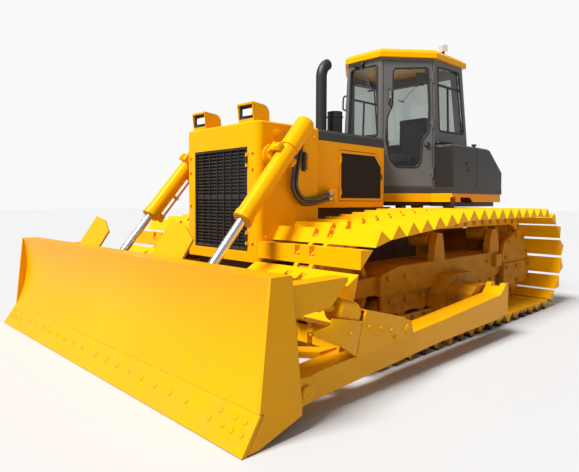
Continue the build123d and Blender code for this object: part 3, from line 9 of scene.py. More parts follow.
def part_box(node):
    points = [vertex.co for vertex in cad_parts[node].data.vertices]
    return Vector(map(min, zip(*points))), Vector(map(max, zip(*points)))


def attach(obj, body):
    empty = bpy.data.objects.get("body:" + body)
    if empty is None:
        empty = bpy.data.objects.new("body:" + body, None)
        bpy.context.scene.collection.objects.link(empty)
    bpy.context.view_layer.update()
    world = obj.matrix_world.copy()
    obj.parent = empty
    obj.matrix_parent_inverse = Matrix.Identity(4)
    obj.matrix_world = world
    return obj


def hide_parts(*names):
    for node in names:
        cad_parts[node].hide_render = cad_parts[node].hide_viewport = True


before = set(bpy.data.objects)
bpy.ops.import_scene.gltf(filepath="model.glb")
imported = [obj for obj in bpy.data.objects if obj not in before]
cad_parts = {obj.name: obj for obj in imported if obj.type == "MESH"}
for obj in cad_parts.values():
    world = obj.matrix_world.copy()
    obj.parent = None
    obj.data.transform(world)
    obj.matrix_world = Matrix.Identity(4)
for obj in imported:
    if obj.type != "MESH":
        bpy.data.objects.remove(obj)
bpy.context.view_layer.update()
bpy.ops.object.select_all(action="DESELECT")


# Viewpoint, floor and light
# The machine stands on a pale studio floor. The eye is at chest height off the blade's left corner,
# and one wide soft lamp stands high in front of the machine.
EYE = (3.859, -4.241, 1.256)
EYE_YAW = 45.905
EYE_TILT = 2.45
EYE_ROLL = 0.2
EYE_LENS = 31.87
EYE_SENSOR = 36
EYE_SHIFT = -0.0212
EYE_REACH = 400
FLOOR_SIZE = 160.0
FLOOR_SHADE = 0.50
FLOOR_ROUGH = 0.9
SKY_SHADE = 0.36
SKY_SEEN = 0.95
SUN_TURN = (36.0, 0.0, -3.0)
SUN_POWER = 5.7
SUN_SPREAD = 22.0

bpy.ops.object.camera_add(location=EYE)
eye = bpy.context.object
turn = Matrix.Rotation(math.radians(EYE_YAW), 4, "Z")
turn = turn @ Matrix.Rotation(math.radians(90 - EYE_TILT), 4, "X")
turn = turn @ Matrix.Rotation(math.radians(EYE_ROLL), 4, "Z")
eye.rotation_euler = turn.to_euler()
eye.data.lens = EYE_LENS
eye.data.sensor_width = EYE_SENSOR
eye.data.sensor_fit = "HORIZONTAL"
eye.data.shift_y = EYE_SHIFT
eye.data.clip_end = EYE_REACH
bpy.context.scene.camera = eye
bpy.context.scene.view_settings.view_transform = "Standard"

bpy.ops.mesh.primitive_plane_add(size=FLOOR_SIZE)
floor = bpy.context.object
floor.name = "studio_floor"
floor_coat = bpy.data.materials.new("floor_coat")
floor_coat.use_nodes = True
floor_shader = floor_coat.node_tree.nodes["Principled BSDF"]
floor_shader.inputs["Base Color"].default_value = (FLOOR_SHADE, FLOOR_SHADE, FLOOR_SHADE, 1)
floor_shader.inputs["Roughness"].default_value = FLOOR_ROUGH
floor.data.materials.append(floor_coat)

world = bpy.data.worlds.new("studio")
bpy.context.scene.world = world
world.use_nodes = True
sky = world.node_tree.nodes["Background"]
seen = world.node_tree.nodes.new("ShaderNodeLightPath")
shade = world.node_tree.nodes.new("ShaderNodeMix")
shade.inputs["A"].default_value = SKY_SHADE
shade.inputs["B"].default_value = SKY_SEEN
world.node_tree.links.new(seen.outputs["Is Camera Ray"], shade.inputs["Factor"])
world.node_tree.links.new(shade.outputs["Result"], sky.inputs["Strength"])
sky.inputs["Color"].default_value = (1, 1, 1, 1)

bpy.ops.object.light_add(type="SUN", rotation=[math.radians(angle) for angle in SUN_TURN])
sun = bpy.context.object
sun.data.energy = SUN_POWER
sun.data.angle = math.radians(SUN_SPREAD)


# Body panels: hood sides, radiator guard, roof and deck skirt, with the black hood top and deck
# Welded steel sheet, primed and sprayed in chrome yellow with a clear gloss, hardly worn. The hood's top
# and the deck are sprayed in a dull black.
PANEL_YELLOW = (0.85, 0.385, 0.001)
YELLOW_SHEEN = (1.0, 0.60, 0.02, 1)
SHEEN_LEVEL = 0.3
HOOD_BLACK = (0.030, 0.031, 0.029)
DUST = (0.34, 0.19, 0.06)
DUST_ROUGH = 0.9
BARE_STEEL = (0.28, 0.27, 0.26)
CLEAR_ROUGH = 0.12
EDGE_ROUND = 0.006
PEEL_DEPTH = 0.002


def put(tree, kind, values=None, **settings):
    """One shader node with its socket values and settings."""
    node = tree.nodes.new(kind)
    for key, value in settings.items():
        setattr(node, key, value)
    for key, value in (values or {}).items():
        if hasattr(value, "node"):
            tree.links.new(value, node.inputs[key])
        else:
            node.inputs[key].default_value = value
    return node


def new_group(name, inputs, outputs):
    """Empty shader group with named sockets, as (tree, entry, exit)."""
    tree = bpy.data.node_groups.new(name, "ShaderNodeTree")
    for label, value in inputs:
        socket = tree.interface.new_socket(label, in_out="INPUT", socket_type="NodeSocketFloat")
        socket.default_value = value
    for label, kind in outputs:
        tree.interface.new_socket(label, in_out="OUTPUT", socket_type=kind)
    return tree, tree.nodes.new("NodeGroupInput"), tree.nodes.new("NodeGroupOutput")


def make_edge_group():
    """Soft corner normal, and a mask of the corners where paint rubs off first."""
    tree, entry, leave = new_group(
        "rubbed_edges", [("Round", EDGE_ROUND), ("Rub", 0.5)],
        [("Mask", "NodeSocketFloat"), ("Normal", "NodeSocketVector")])
    place = put(tree, "ShaderNodeTexCoord")
    soft = put(tree, "ShaderNodeBevel", {"Radius": entry.outputs["Round"]}, samples=4)
    flat = put(tree, "ShaderNodeNewGeometry")
    agree = put(tree, "ShaderNodeVectorMath", {
        0: soft.outputs["Normal"], 1: flat.outputs["Normal"]}, operation="DOT_PRODUCT")
    edge = put(tree, "ShaderNodeMapRange", {
        "Value": agree.outputs["Value"], "From Min": 0.99, "From Max": 0.85})
    chips = put(tree, "ShaderNodeTexNoise", {
        "Vector": place.outputs["Object"], "Scale": 38.0, "Detail": 6.0})
    uneven = put(tree, "ShaderNodeMapRange", {
        "Value": chips.outputs["Fac"], "From Min": 0.46, "From Max": 0.62})
    mask = put(tree, "ShaderNodeMath", {
        0: edge.outputs["Result"], 1: uneven.outputs["Result"]}, operation="MULTIPLY")
    share = put(tree, "ShaderNodeMath", {
        0: mask.outputs[0], 1: entry.outputs["Rub"]}, operation="MULTIPLY", use_clamp=True)
    tree.links.new(share.outputs[0], leave.inputs["Mask"])
    tree.links.new(soft.outputs["Normal"], leave.inputs["Normal"])
    return tree


def make_dust_group():
    """Dust that thins out with height, a slow change of tone over a panel, and a fine grain."""
    tree, entry, leave = new_group(
        "settled_dust", [("Height", 0.8), ("Amount", 0.3)],
        [(label, "NodeSocketFloat") for label in ("Mask", "Tone", "Grain")])
    place = put(tree, "ShaderNodeTexCoord")
    parts = put(tree, "ShaderNodeSeparateXYZ", {"Vector": place.outputs["Object"]})
    slow = put(tree, "ShaderNodeTexNoise", {
        "Vector": place.outputs["Object"], "Scale": 1.3, "Detail": 3.0})
    patch = put(tree, "ShaderNodeTexNoise", {
        "Vector": place.outputs["Object"], "Scale": 7.0, "Detail": 8.0, "Roughness": 0.65})
    fine = put(tree, "ShaderNodeTexNoise", {
        "Vector": place.outputs["Object"], "Scale": 170.0, "Detail": 2.0})
    fade = put(tree, "ShaderNodeMapRange", {
        "Value": parts.outputs["Z"], "From Min": entry.outputs["Height"], "From Max": 0.0})
    blotch = put(tree, "ShaderNodeMapRange", {
        "Value": patch.outputs["Fac"], "From Min": 0.38, "From Max": 0.68})
    low = put(tree, "ShaderNodeMath", {
        0: fade.outputs["Result"], 1: blotch.outputs["Result"]}, operation="MULTIPLY")
    mask = put(tree, "ShaderNodeMath", {
        0: low.outputs[0], 1: entry.outputs["Amount"]}, operation="MULTIPLY", use_clamp=True)
    tree.links.new(mask.outputs[0], leave.inputs["Mask"])
    tree.links.new(slow.outputs["Fac"], leave.inputs["Tone"])
    tree.links.new(fine.outputs["Fac"], leave.inputs["Grain"])
    return tree


rubbed_edges = make_edge_group()
settled_dust = make_dust_group()


def coat(name, colour, rough, metal=0.0, clear=0.0, dust=0.2, dust_height=0.9, dust_colour=DUST,
         rub=0.2, tone=0.12, grain=0.04, sheen=None):
    """Finish over steel or plastic: slow tone, settled dust, rubbed corners and a fine grain."""
    finish = bpy.data.materials.new(name)
    finish.use_nodes = True
    tree = finish.node_tree
    shader = tree.nodes["Principled BSDF"]
    dusty = put(tree, "ShaderNodeGroup", node_tree=settled_dust)
    dusty.inputs["Height"].default_value = dust_height
    dusty.inputs["Amount"].default_value = dust
    edges = put(tree, "ShaderNodeGroup", node_tree=rubbed_edges)
    edges.inputs["Round"].default_value = EDGE_ROUND
    edges.inputs["Rub"].default_value = rub
    deep = [channel * (1 - tone) for channel in colour]
    light = [min(1, channel * (1 + tone)) for channel in colour]
    body = put(tree, "ShaderNodeMix", {"Factor": dusty.outputs["Tone"]}, data_type="RGBA")
    body.inputs["A"].default_value = (*deep, 1)
    body.inputs["B"].default_value = (*light, 1)
    dirty = put(tree, "ShaderNodeMix", {"Factor": dusty.outputs["Mask"]}, data_type="RGBA")
    tree.links.new(body.outputs["Result"], dirty.inputs["A"])
    dirty.inputs["B"].default_value = (*dust_colour, 1)
    worn = put(tree, "ShaderNodeMix", {"Factor": edges.outputs["Mask"]}, data_type="RGBA")
    tree.links.new(dirty.outputs["Result"], worn.inputs["A"])
    worn.inputs["B"].default_value = (*BARE_STEEL, 1)
    matt = put(tree, "ShaderNodeMapRange", {
        "Value": dusty.outputs["Mask"], "To Min": rough, "To Max": DUST_ROUGH})
    peel = put(tree, "ShaderNodeBump", {
        "Height": dusty.outputs["Grain"], "Normal": edges.outputs["Normal"],
        "Strength": grain, "Distance": PEEL_DEPTH})
    tree.links.new(worn.outputs["Result"], shader.inputs["Base Color"])
    tree.links.new(matt.outputs["Result"], shader.inputs["Roughness"])
    tree.links.new(peel.outputs["Normal"], shader.inputs["Normal"])
    shader.inputs["Metallic"].default_value = metal
    shader.inputs["Coat Weight"].default_value = clear
    shader.inputs["Coat Roughness"].default_value = CLEAR_ROUGH
    if sheen:
        shader.inputs["Specular Tint"].default_value = sheen
        shader.inputs["Specular IOR Level"].default_value = SHEEN_LEVEL
    return finish


def dress(finish, *names):
    """Gives CAD nodes their finish."""
    for name in names:
        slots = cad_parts[name].data.materials
        for number in range(len(slots)):
            slots[number] = finish


panel_paint = coat("panel_paint", PANEL_YELLOW, 0.36, clear=0.04, dust=0.1, dust_height=1.6, tone=0.05,
                   sheen=YELLOW_SHEEN)
dress(panel_paint, "radiator_guard", "hood_sides", "engine_door_left", "engine_door_right", "cab_roof",
      "deck_skirt", "headlamp_hoods", "trunnion_brackets", "lift_barrel_left", "lift_barrel_right")
hood_paint = coat("hood_paint", HOOD_BLACK, 0.45, clear=0.1, dust=0.1, dust_height=2.0, tone=0.08)
dress(hood_paint, "hood_top", "floor_deck")


# Exhaust stack, air cleaner, grille door and radiator core
# Bent tube, spun sheet and flat bars under a black paint that stands heat.
STEEL_BLACK = (0.012, 0.012, 0.012)
black_steel = coat("black_steel", STEEL_BLACK, 0.5, dust=0.15, dust_height=2.0)
dress(black_steel, "exhaust_stack", "air_cleaner", "grille_door", "radiator_core")


# Track chain: bolts in the shoes' notches, link pins and their bushings
# Every shoe is held to its two links by four hexagon bolts, and steel pins with hardened bushings
# join link to link. The bolt heads sit at the bottom of the notches, and soil darkens the lower run.
TRACK_YELLOW = (0.85, 0.395, 0.001)
TRACK_SOIL = (0.05, 0.045, 0.035)
CHAIN_RUST = (0.52, 0.21, 0.012)
PIN_LINE_LOW = 0.155
PIN_LINE_HIGH = 1.0362
SPROCKET = (2.11, 0.5956, 0.4406)
IDLER = (-1.052, 0.535, 0.380)
RUN_KINK = 0.27
SHOES = 44
CHAIN_X = 1.1
LINK_FROM_MIDDLE = 0.08
LINK_FACE = 0.099
NOTCH_FLOOR = 0.093
SHOE_BOLT = 0.028
SHOE_BOLT_STEP = 0.036
BOSS = (0.034, 0.009, 20)
BOSS_STEPS = ((0.006, 0), (0.007, -0.004), (0.002, 0.005))
BUSHING = (0.030, 0.126, 16)
# shares of a bolt's width
HEAD_HIGH, HEAD_FOOT, HEAD_CHAMFER = 0.52, 0.12, 0.08
WASHER_WIDE, WASHER_HIGH = 1.28, 0.13
UP = (0, 0, 1)
LEFTWARD = (1, 0, 0)
FACING = 0.95
SMOOTH_UNDER = 34
SHARP_OVER = 40
SIDES = (("left", 1), ("right", -1))


def pick(piece, way):
    """Selects the faces that look one way. The piece is in edit mode."""
    bpy.ops.mesh.select_mode(type="FACE")
    bpy.ops.mesh.select_all(action="DESELECT")
    mesh = bmesh.from_edit_mesh(piece.data)
    for face in mesh.faces:
        face.select_set(face.normal.dot(Vector(way)) > FACING)
    mesh.select_flush_mode()
    bmesh.update_edit_mesh(piece.data)


def dish(piece, way, *steps):
    """Insets the face that looks one way and moves it out, by each step's (inset, move)."""
    bpy.ops.object.mode_set(mode="EDIT")
    pick(piece, way)
    for inset, move in steps:
        bpy.ops.mesh.inset(thickness=inset)
        if move:
            bpy.ops.transform.translate(value=Vector(way) * move)
    bpy.ops.object.mode_set(mode="OBJECT")
    return piece


def alone(piece):
    """Makes a piece the only selected and the active one."""
    bpy.ops.object.select_all(action="DESELECT")
    piece.select_set(True)
    bpy.context.view_layer.objects.active = piece


def bake_place():
    """Puts the selected pieces' place, turn and scale in their meshes."""
    bpy.ops.object.transform_apply(location=True, rotation=True, scale=True)


def settle(piece, name, body, finish):
    """Puts a finished piece's place in its mesh, and gives it its name, finish and body."""
    alone(piece)
    bake_place()
    piece.name = name
    piece.data.name = name
    piece.data.materials.clear()
    piece.data.materials.append(finish)
    bpy.ops.object.shade_smooth_by_angle(angle=math.radians(SMOOTH_UNDER))
    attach(piece, body)
    bpy.ops.object.select_all(action="DESELECT")


def join(pieces):
    """Joins pieces to one mesh."""
    alone(pieces[0])
    for piece in pieces[1:]:
        piece.select_set(True)
    bpy.context.view_layer.update()
    if len(pieces) > 1:
        bpy.ops.object.join()
    return pieces[0]


def spread(piece, spots):
    """Copies of a piece, each at a point and facing a direction, joined to one mesh."""
    copies = []
    for point, way in spots:
        copy = piece.copy()
        copy.data = piece.data.copy()
        bpy.context.collection.objects.link(copy)
        facing = Vector(way).to_track_quat("Z", "Y").to_matrix().to_4x4()
        copy.matrix_world = Matrix.Translation(Vector(point)) @ facing
        copies.append(copy)
    bpy.data.objects.remove(piece)
    joined = join(copies)
    bake_place()
    return joined


def on_side(spots, mirror):
    """The spots as they are for 1, and their mirror images on the machine's right side for -1."""
    return [((mirror * x, y, z), (mirror * i, j, k)) for (x, y, z), (i, j, k) in spots]


def both_sides(spots):
    """The spots and their mirror images on the machine's right side."""
    return list(spots) + on_side(spots, -1)


def round_edges(piece, width, steps=2):
    """Bevels the sharp edges of a piece and applies it."""
    alone(piece)
    bevel = piece.modifiers.new("edges", "BEVEL")
    bevel.width = width
    bevel.segments = steps
    bevel.limit_method = "ANGLE"
    bevel.angle_limit = math.radians(SHARP_OVER)
    bpy.ops.object.modifier_apply(modifier=bevel.name)
    return piece


def drum(radius, depth, sides=24, foot=0.0):
    """Cylinder that stands on foot and faces up."""
    bpy.ops.object.select_all(action="DESELECT")
    bpy.ops.mesh.primitive_cylinder_add(
        vertices=sides, radius=radius, depth=depth, location=(0, 0, foot + depth / 2))
    bake_place()
    return bpy.context.object


def slab(low, high, edge=0.0, steps=2):
    """Box between two corners with rounded edges."""
    bpy.ops.object.select_all(action="DESELECT")
    middle = [(a + b) / 2 for a, b in zip(low, high)]
    bpy.ops.mesh.primitive_cube_add(size=1, location=middle, scale=[abs(b - a) for a, b in zip(low, high)])
    bake_place()
    piece = bpy.context.object
    return round_edges(piece, edge, steps) if edge else piece


def hex_bolt(width):
    """Hexagon bolt head on its washer, seated at the origin and facing up, with a chamfered crown."""
    reach = width / 2 / math.cos(math.pi / 6)
    head = drum(reach, width * HEAD_HIGH, 6, width * HEAD_FOOT)
    bpy.ops.object.mode_set(mode="EDIT")
    pick(head, UP)
    bpy.ops.mesh.bevel(offset=width * HEAD_CHAMFER, segments=1, affect="EDGES")
    bpy.ops.object.mode_set(mode="OBJECT")
    return join([head, drum(reach * WASHER_WIDE, width * WASHER_HIGH, 16)])


def chain_pins():
    """The pins' (y, z) places, evenly spaced along the chain's line."""
    reach = (RUN_KINK - IDLER[0], PIN_LINE_HIGH - IDLER[1])
    leave = math.atan2(reach[1], reach[0]) + math.acos(IDLER[2] / math.hypot(*reach))
    front = (IDLER[0] + IDLER[2] * math.cos(leave), IDLER[1] + IDLER[2] * math.sin(leave))
    line = [
        ((IDLER[0], PIN_LINE_LOW), (SPROCKET[0], PIN_LINE_LOW)),
        (SPROCKET, -math.pi / 2, math.pi / 2),
        ((SPROCKET[0], PIN_LINE_HIGH), (RUN_KINK, PIN_LINE_HIGH)),
        ((RUN_KINK, PIN_LINE_HIGH), front),
        (IDLER, leave, 3 * math.pi / 2),
    ]
    lengths = [math.dist(*part) if len(part) == 2 else part[0][2] * (part[2] - part[1]) for part in line]
    pitch = sum(lengths) / SHOES
    pins = []
    for number in range(SHOES):
        left = number * pitch
        for part, length in zip(line, lengths):
            if left <= length:
                break
            left -= length
        share = left / length
        if len(part) == 2:
            pins.append(tuple(a + share * (b - a) for a, b in zip(*part)))
        else:
            (y, z, radius), first, last = part
            turn = first + share * (last - first)
            pins.append((y + radius * math.cos(turn), z + radius * math.sin(turn)))
    return pins


track_paint = coat("track_paint", TRACK_YELLOW, 0.5, dust=2.6, dust_height=0.11, dust_colour=TRACK_SOIL,
                   rub=0.4, tone=0.08, sheen=YELLOW_SHEEN)
dress(track_paint, "track_left", "track_right")
chain_paint = coat("chain_paint", CHAIN_RUST, 0.55, metal=0.1, dust=0.7, dust_height=1.1, rub=0.5, tone=0.2)
pins = chain_pins()
shoe_bolts, link_pins = [], []
for (y0, z0), (y1, z1) in zip(pins, pins[1:] + pins[:1]):
    run = Vector((0, y1 - y0, z1 - z0)).normalized()
    out = Vector((0, run.z, -run.y))
    middle = Vector((CHAIN_X, (y0 + y1) / 2, (z0 + z1) / 2)) + out * NOTCH_FLOOR
    for rail in (-1, 1):
        for step in (-SHOE_BOLT_STEP, SHOE_BOLT_STEP):
            shoe_bolts.append((middle + run * step + Vector((rail * LINK_FROM_MIDDLE, 0, 0)), out))
        link_pins.append(((CHAIN_X + rail * LINK_FACE, y0, z0), (rail, 0, 0)))
for side, mirror in SIDES:
    bolts = spread(hex_bolt(SHOE_BOLT), on_side(shoe_bolts, mirror))
    settle(bolts, "shoe_bolts_" + side, "chassis", track_paint)
    bosses = spread(dish(drum(*BOSS), UP, *BOSS_STEPS), on_side(link_pins, mirror))
    settle(bosses, "link_pins_" + side, "chassis", chain_paint)
    bushings = spread(drum(*BUSHING, -BUSHING[1] / 2), [((mirror * CHAIN_X, y, z), LEFTWARD) for y, z in pins])
    settle(bushings, "link_bushings_" + side, "chassis", chain_paint)


# Running gear: bolts of the sprockets' toothed segments and of the track frames' plates
# Cast and welded steel in yellow, painted darker for the shade under the machine, with grease and old dust
# towards the bottom. The segments bolt to the sprocket's hub from both sides. The main frame and the engine
# between the tracks are painted dark brown, partly for oil and partly as painted shade between the tracks.
FRAME_SHADED_YELLOW = (0.54, 0.22, 0.003)
FRAME_GREASE = (0.16, 0.085, 0.03)
BELLY_OIL_AND_SHADE_BROWN = (0.085, 0.040, 0.012)
SEGMENT_BOLT = 0.03
SEGMENT_BOLTS = 18
SEGMENT_FIRST = 6
SEGMENT_RING = 0.345
SEGMENT_FACE = 0.032
PLATE_BOLT = 0.032
PLATE_BOLTS = [(1.275, -0.52 + number * 0.245, 0.385) for number in range(9)]
PLATE_BOLTS += [(1.300, y, 0.600) for y in (-0.59, -0.33, 1.30, 1.50)]
PLATE_BOLTS += [(1.350, y, z) for y, z in (
    (1.70, 0.50), (1.98, 0.50), (2.30, 0.50), (2.34, 0.34), (1.98, 0.34))]
PLATE_BOLTS += [(1.332, y, z) for y, z in (
    (1.72, 0.62), (1.80, 0.79), (2.00, 0.86), (2.18, 0.82), (2.30, 0.66))]

# the frames' yellow is darker than the panels' as painted shade under the machine
frame_paint = coat("frame_paint", FRAME_SHADED_YELLOW, 0.55, dust=0.7, dust_height=1.3, dust_colour=FRAME_GREASE,
                   rub=0.3, sheen=YELLOW_SHEEN)
dress(frame_paint, "track_frame_left", "track_frame_right", "idlers", "sprockets", "final_drives", "rollers",
      "rear_case", "drawbar", "equalizer_bar")
# dark brown for oil, and painted shade between the tracks
belly_paint = coat("belly_paint", BELLY_OIL_AND_SHADE_BROWN, 0.65, dust=0.5, dust_height=1.2, rub=0.2)
dress(belly_paint, "main_frame", "engine_block")
segment_spots = []
for number in range(SEGMENT_BOLTS):
    turn = math.radians(360 / SEGMENT_BOLTS * number + SEGMENT_FIRST)
    y = SPROCKET[0] + SEGMENT_RING * math.cos(turn)
    z = SPROCKET[1] + SEGMENT_RING * math.sin(turn)
    segment_spots += [((CHAIN_X + face * SEGMENT_FACE, y, z), (face, 0, 0)) for face in (1, -1)]
segment_bolts = spread(hex_bolt(SEGMENT_BOLT), both_sides(segment_spots))
settle(segment_bolts, "segment_bolts", "chassis", frame_paint)
roller_guard_bolts = spread(hex_bolt(PLATE_BOLT), both_sides([(spot, LEFTWARD) for spot in PLATE_BOLTS]))
settle(roller_guard_bolts, "roller_guard_bolts", "chassis", frame_paint)


# Radiator guard: bolts beside the grille and along the side plates
# The guard is bolted together from thick plates. Its front carries the grille frame's bolts.
NOSE_BOLT = 0.022
NOSE_FRONT = [(0.472, -1.403, z) for z in (0.90, 1.22, 1.54, 1.68)]
NOSE_SIDE = [(0.55, y, z) for y, z in (
    (-1.32, 1.69), (-1.32, 1.42), (-1.32, 0.95), (-0.72, 1.86), (-0.72, 1.25), (-0.72, 0.80))]
FORWARD = (0, -1, 0)

nose_spots = [(spot, FORWARD) for spot in NOSE_FRONT] + [(spot, LEFTWARD) for spot in NOSE_SIDE]
nose_bolts = spread(hex_bolt(NOSE_BOLT), both_sides(nose_spots))
settle(nose_bolts, "guard_bolts", "chassis", panel_paint)


# Headlamps: square black inserts, each round a bowl with a painted reflection
# Pressed steel housings painted black sit deep in the hoods on the guard's roof. The bowl is a reflector, and
# its bright reflection is painted in as a nearly white colour under a clear coat.
REFLECTION_PAINTED_WHITE = (0.90, 0.90, 0.88)
LAMP_INNER_X = 0.2593
LAMP_OUTER_X = 0.4507
LAMP_FRONT, LAMP_BACK = -1.372, -1.3093
LAMP_LOW, LAMP_HIGH = (corner[2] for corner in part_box("headlamp_lenses"))
LAMP_ROUND = 0.004
LAMP_STEP = (0.020, -0.026)
BOWL_FRONT, BOWL_BACK = -1.366, -1.344
BOWL_RIM, BOWL_RIM_TOP = 0.030, 0.026
BOWL_ROUND = 0.006

lamp_black = coat("lamp_black", STEEL_BLACK, 0.45, dust=0.1, dust_height=2.5)
# the reflector bowl's nearly white colour is a painted reflection, not a mirror
lamp_reflector = coat("lamp_reflector", REFLECTION_PAINTED_WHITE, 0.3, metal=0.1, clear=0.5, dust=0.0, rub=0.0, tone=0.02)
for side, mirror in reversed(SIDES):
    x0, x1 = sorted((mirror * LAMP_INNER_X, mirror * LAMP_OUTER_X))
    insert = slab((x0, LAMP_FRONT, LAMP_LOW), (x1, LAMP_BACK, LAMP_HIGH), LAMP_ROUND)
    dish(insert, FORWARD, LAMP_STEP)
    settle(insert, "lamp_insert_" + side, "chassis", lamp_black)
    bowl = slab((x0 + BOWL_RIM, BOWL_FRONT, LAMP_LOW + BOWL_RIM),
                (x1 - BOWL_RIM, BOWL_BACK, LAMP_HIGH - BOWL_RIM_TOP), BOWL_ROUND)
    settle(bowl, "lamp_bowl_" + side, "chassis", lamp_reflector)
    if side == "left":
        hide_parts("headlamp_lenses")


# Engine doors: woven wire screens over a black sheet of painted shade, each with a flush latch
# A square-woven screen is clamped into the door's recess by a flat strip, and a black sheet behind it paints
# the shade inside the engine bay. Its upper rear corner is cut off like the door's.
WIRE_BLACK = (0.035, 0.035, 0.034)
# near-black of the sheet behind the screens: painted shade of the engine bay
PAINTED_SHADE_BLACK = (0.008, 0.008, 0.008)
SCREEN_FRONT, SCREEN_REAR = -0.262, 0.402
SCREEN_LOW, SCREEN_HIGH = 1.298, 1.747
SCREEN_X = 0.4962
SCREEN_CELL = 0.0205
SCREEN_WIRE = 0.0045
CORNER_CUT = 0.114
SHADE_SHEET_INNER_X, SHADE_SHEET_OUTER_X = 0.4940, 0.4946
STRIP_X, STRIP_RADIUS = 0.4975, 0.0045
LATCH = ((0.4995, 0.408, 1.50), (0.506, 0.422, 1.56), 0.002)


def mirrored(piece):
    """Copy of a piece on the machine's other side, with its faces outwards."""
    copy = piece.copy()
    copy.data = piece.data.copy()
    bpy.context.collection.objects.link(copy)
    alone(copy)
    copy.scale.x = -1
    bake_place()
    bpy.ops.object.mode_set(mode="EDIT")
    bpy.ops.mesh.select_all(action="SELECT")
    bpy.ops.mesh.normals_make_consistent(inside=False)
    bpy.ops.object.mode_set(mode="OBJECT")
    return copy


def trace(points):
    """Line of edges through points, left in edit mode with all of it selected."""
    bpy.ops.object.select_all(action="DESELECT")
    bpy.ops.mesh.primitive_plane_add(size=0.001, location=points[0])
    bake_place()
    bpy.ops.object.mode_set(mode="EDIT")
    bpy.ops.mesh.select_mode(type="VERT")
    bpy.ops.mesh.select_all(action="SELECT")
    bpy.ops.mesh.merge(type="CENTER")
    for last, point in zip(points, points[1:]):
        bpy.ops.mesh.extrude_region_move(TRANSFORM_OT_translate={"value": Vector(point) - Vector(last)})
    bpy.ops.mesh.select_all(action="SELECT")


def rod_along(points, radius, corner=0.0, steps=6):
    """Round bar that follows points, its corners turned to a radius."""
    trace(points)
    if corner:
        bpy.ops.mesh.bevel(offset=corner, segments=steps, affect="VERTICES")
    bpy.ops.object.mode_set(mode="OBJECT")
    bpy.ops.object.convert(target="CURVE")
    bar = bpy.context.object
    bar.data.bevel_depth = radius
    bar.data.bevel_resolution = 3
    bar.data.use_fill_caps = True
    bpy.ops.object.convert(target="MESH")
    return bpy.context.object


def cut_corner(fill):
    """Cuts off the active piece's upper rear corner."""
    bpy.ops.object.mode_set(mode="EDIT")
    bpy.ops.mesh.select_all(action="SELECT")
    bpy.ops.mesh.bisect(plane_co=(SCREEN_X, SCREEN_REAR - CORNER_CUT, SCREEN_HIGH), plane_no=(0, 1, 1),
                        clear_outer=True, use_fill=fill)
    bpy.ops.object.mode_set(mode="OBJECT")


screen_wire = coat("screen_wire", WIRE_BLACK, 0.4, metal=0.3, dust=0.2, dust_height=2.0, rub=0.0)
painted_shade_sheet = coat("painted_shade_sheet", PAINTED_SHADE_BLACK, 0.75, dust=0.0, rub=0.0)
screen_wide, screen_tall = SCREEN_REAR - SCREEN_FRONT, SCREEN_HIGH - SCREEN_LOW
bpy.ops.object.select_all(action="DESELECT")
bpy.ops.mesh.primitive_grid_add(
    x_subdivisions=round(screen_wide / SCREEN_CELL), y_subdivisions=round(screen_tall / SCREEN_CELL),
    size=1, location=(SCREEN_X, (SCREEN_FRONT + SCREEN_REAR) / 2, (SCREEN_LOW + SCREEN_HIGH) / 2),
    rotation=(math.pi / 2, 0, math.pi / 2))
screen = bpy.context.object
screen.scale = (screen_wide, screen_tall, 1)
bake_place()
cut_corner(fill=False)
weave = screen.modifiers.new("weave", "WIREFRAME")
weave.thickness = SCREEN_WIRE
weave.use_even_offset = False
bpy.ops.object.modifier_apply(modifier=weave.name)
# black sheet behind the screen, standing for the shaded engine bay: painted shade
shade_sheet = slab((SHADE_SHEET_INNER_X, SCREEN_FRONT, SCREEN_LOW), (SHADE_SHEET_OUTER_X, SCREEN_REAR, SCREEN_HIGH))
cut_corner(fill=True)
screen_outline = [
    (SCREEN_FRONT, SCREEN_LOW), (SCREEN_REAR, SCREEN_LOW), (SCREEN_REAR, SCREEN_HIGH - CORNER_CUT),
    (SCREEN_REAR - CORNER_CUT, SCREEN_HIGH), (SCREEN_FRONT, SCREEN_HIGH), (SCREEN_FRONT, SCREEN_LOW),
]
strip = rod_along([(STRIP_X, y, z) for y, z in screen_outline], STRIP_RADIUS)
for piece, name, finish in (
    (screen, "door_screen", screen_wire), (shade_sheet, "door_shade_sheet", painted_shade_sheet),
    (strip, "screen_strip", black_steel), (slab(*LATCH), "door_latch", black_steel),
):
    other = mirrored(piece)
    settle(piece, name + "_left", "engine_hatch_left", finish)
    settle(other, name + "_right", "engine_hatch_right", finish)


# Cab: rubber seals round the panes, wipers, handles, locks and the sliding side windows' bars
# Folded posts in grey enamel. The flat safety panes are held in black rubber beads. Both doors have a
# grab bar and a round lock, and the handles and wipers are moulded in black.
CAB_GREY = (0.108, 0.110, 0.104)
PLASTIC_GREY = (0.03, 0.03, 0.032)
PANE_TINT = (0.93, 0.97, 0.94)
PANE_ROUGH, PANE_BEND = 0.02, 1.45
MOULDING_BLACK = (0.015, 0.015, 0.016)
BRIGHT_GREY = (0.72, 0.72, 0.70)
CAB_FLOOR_Z = 1.430
CAB_EAVES_Z = 2.948
CAB_LOW = [(0.290, 0.700), (0.692, 1.205), (0.692, 2.090), (-0.692, 2.090), (-0.692, 1.205), (-0.290, 0.700)]
CAB_HIGH = [(0.246, 0.740), (0.648, 1.245), (0.648, 1.905), (-0.648, 1.905), (-0.648, 1.245), (-0.246, 0.740)]
DOOR_WALL, SIDE_WALL, REAR_WALL, FRONT_WALL = 0, 1, 2, 5
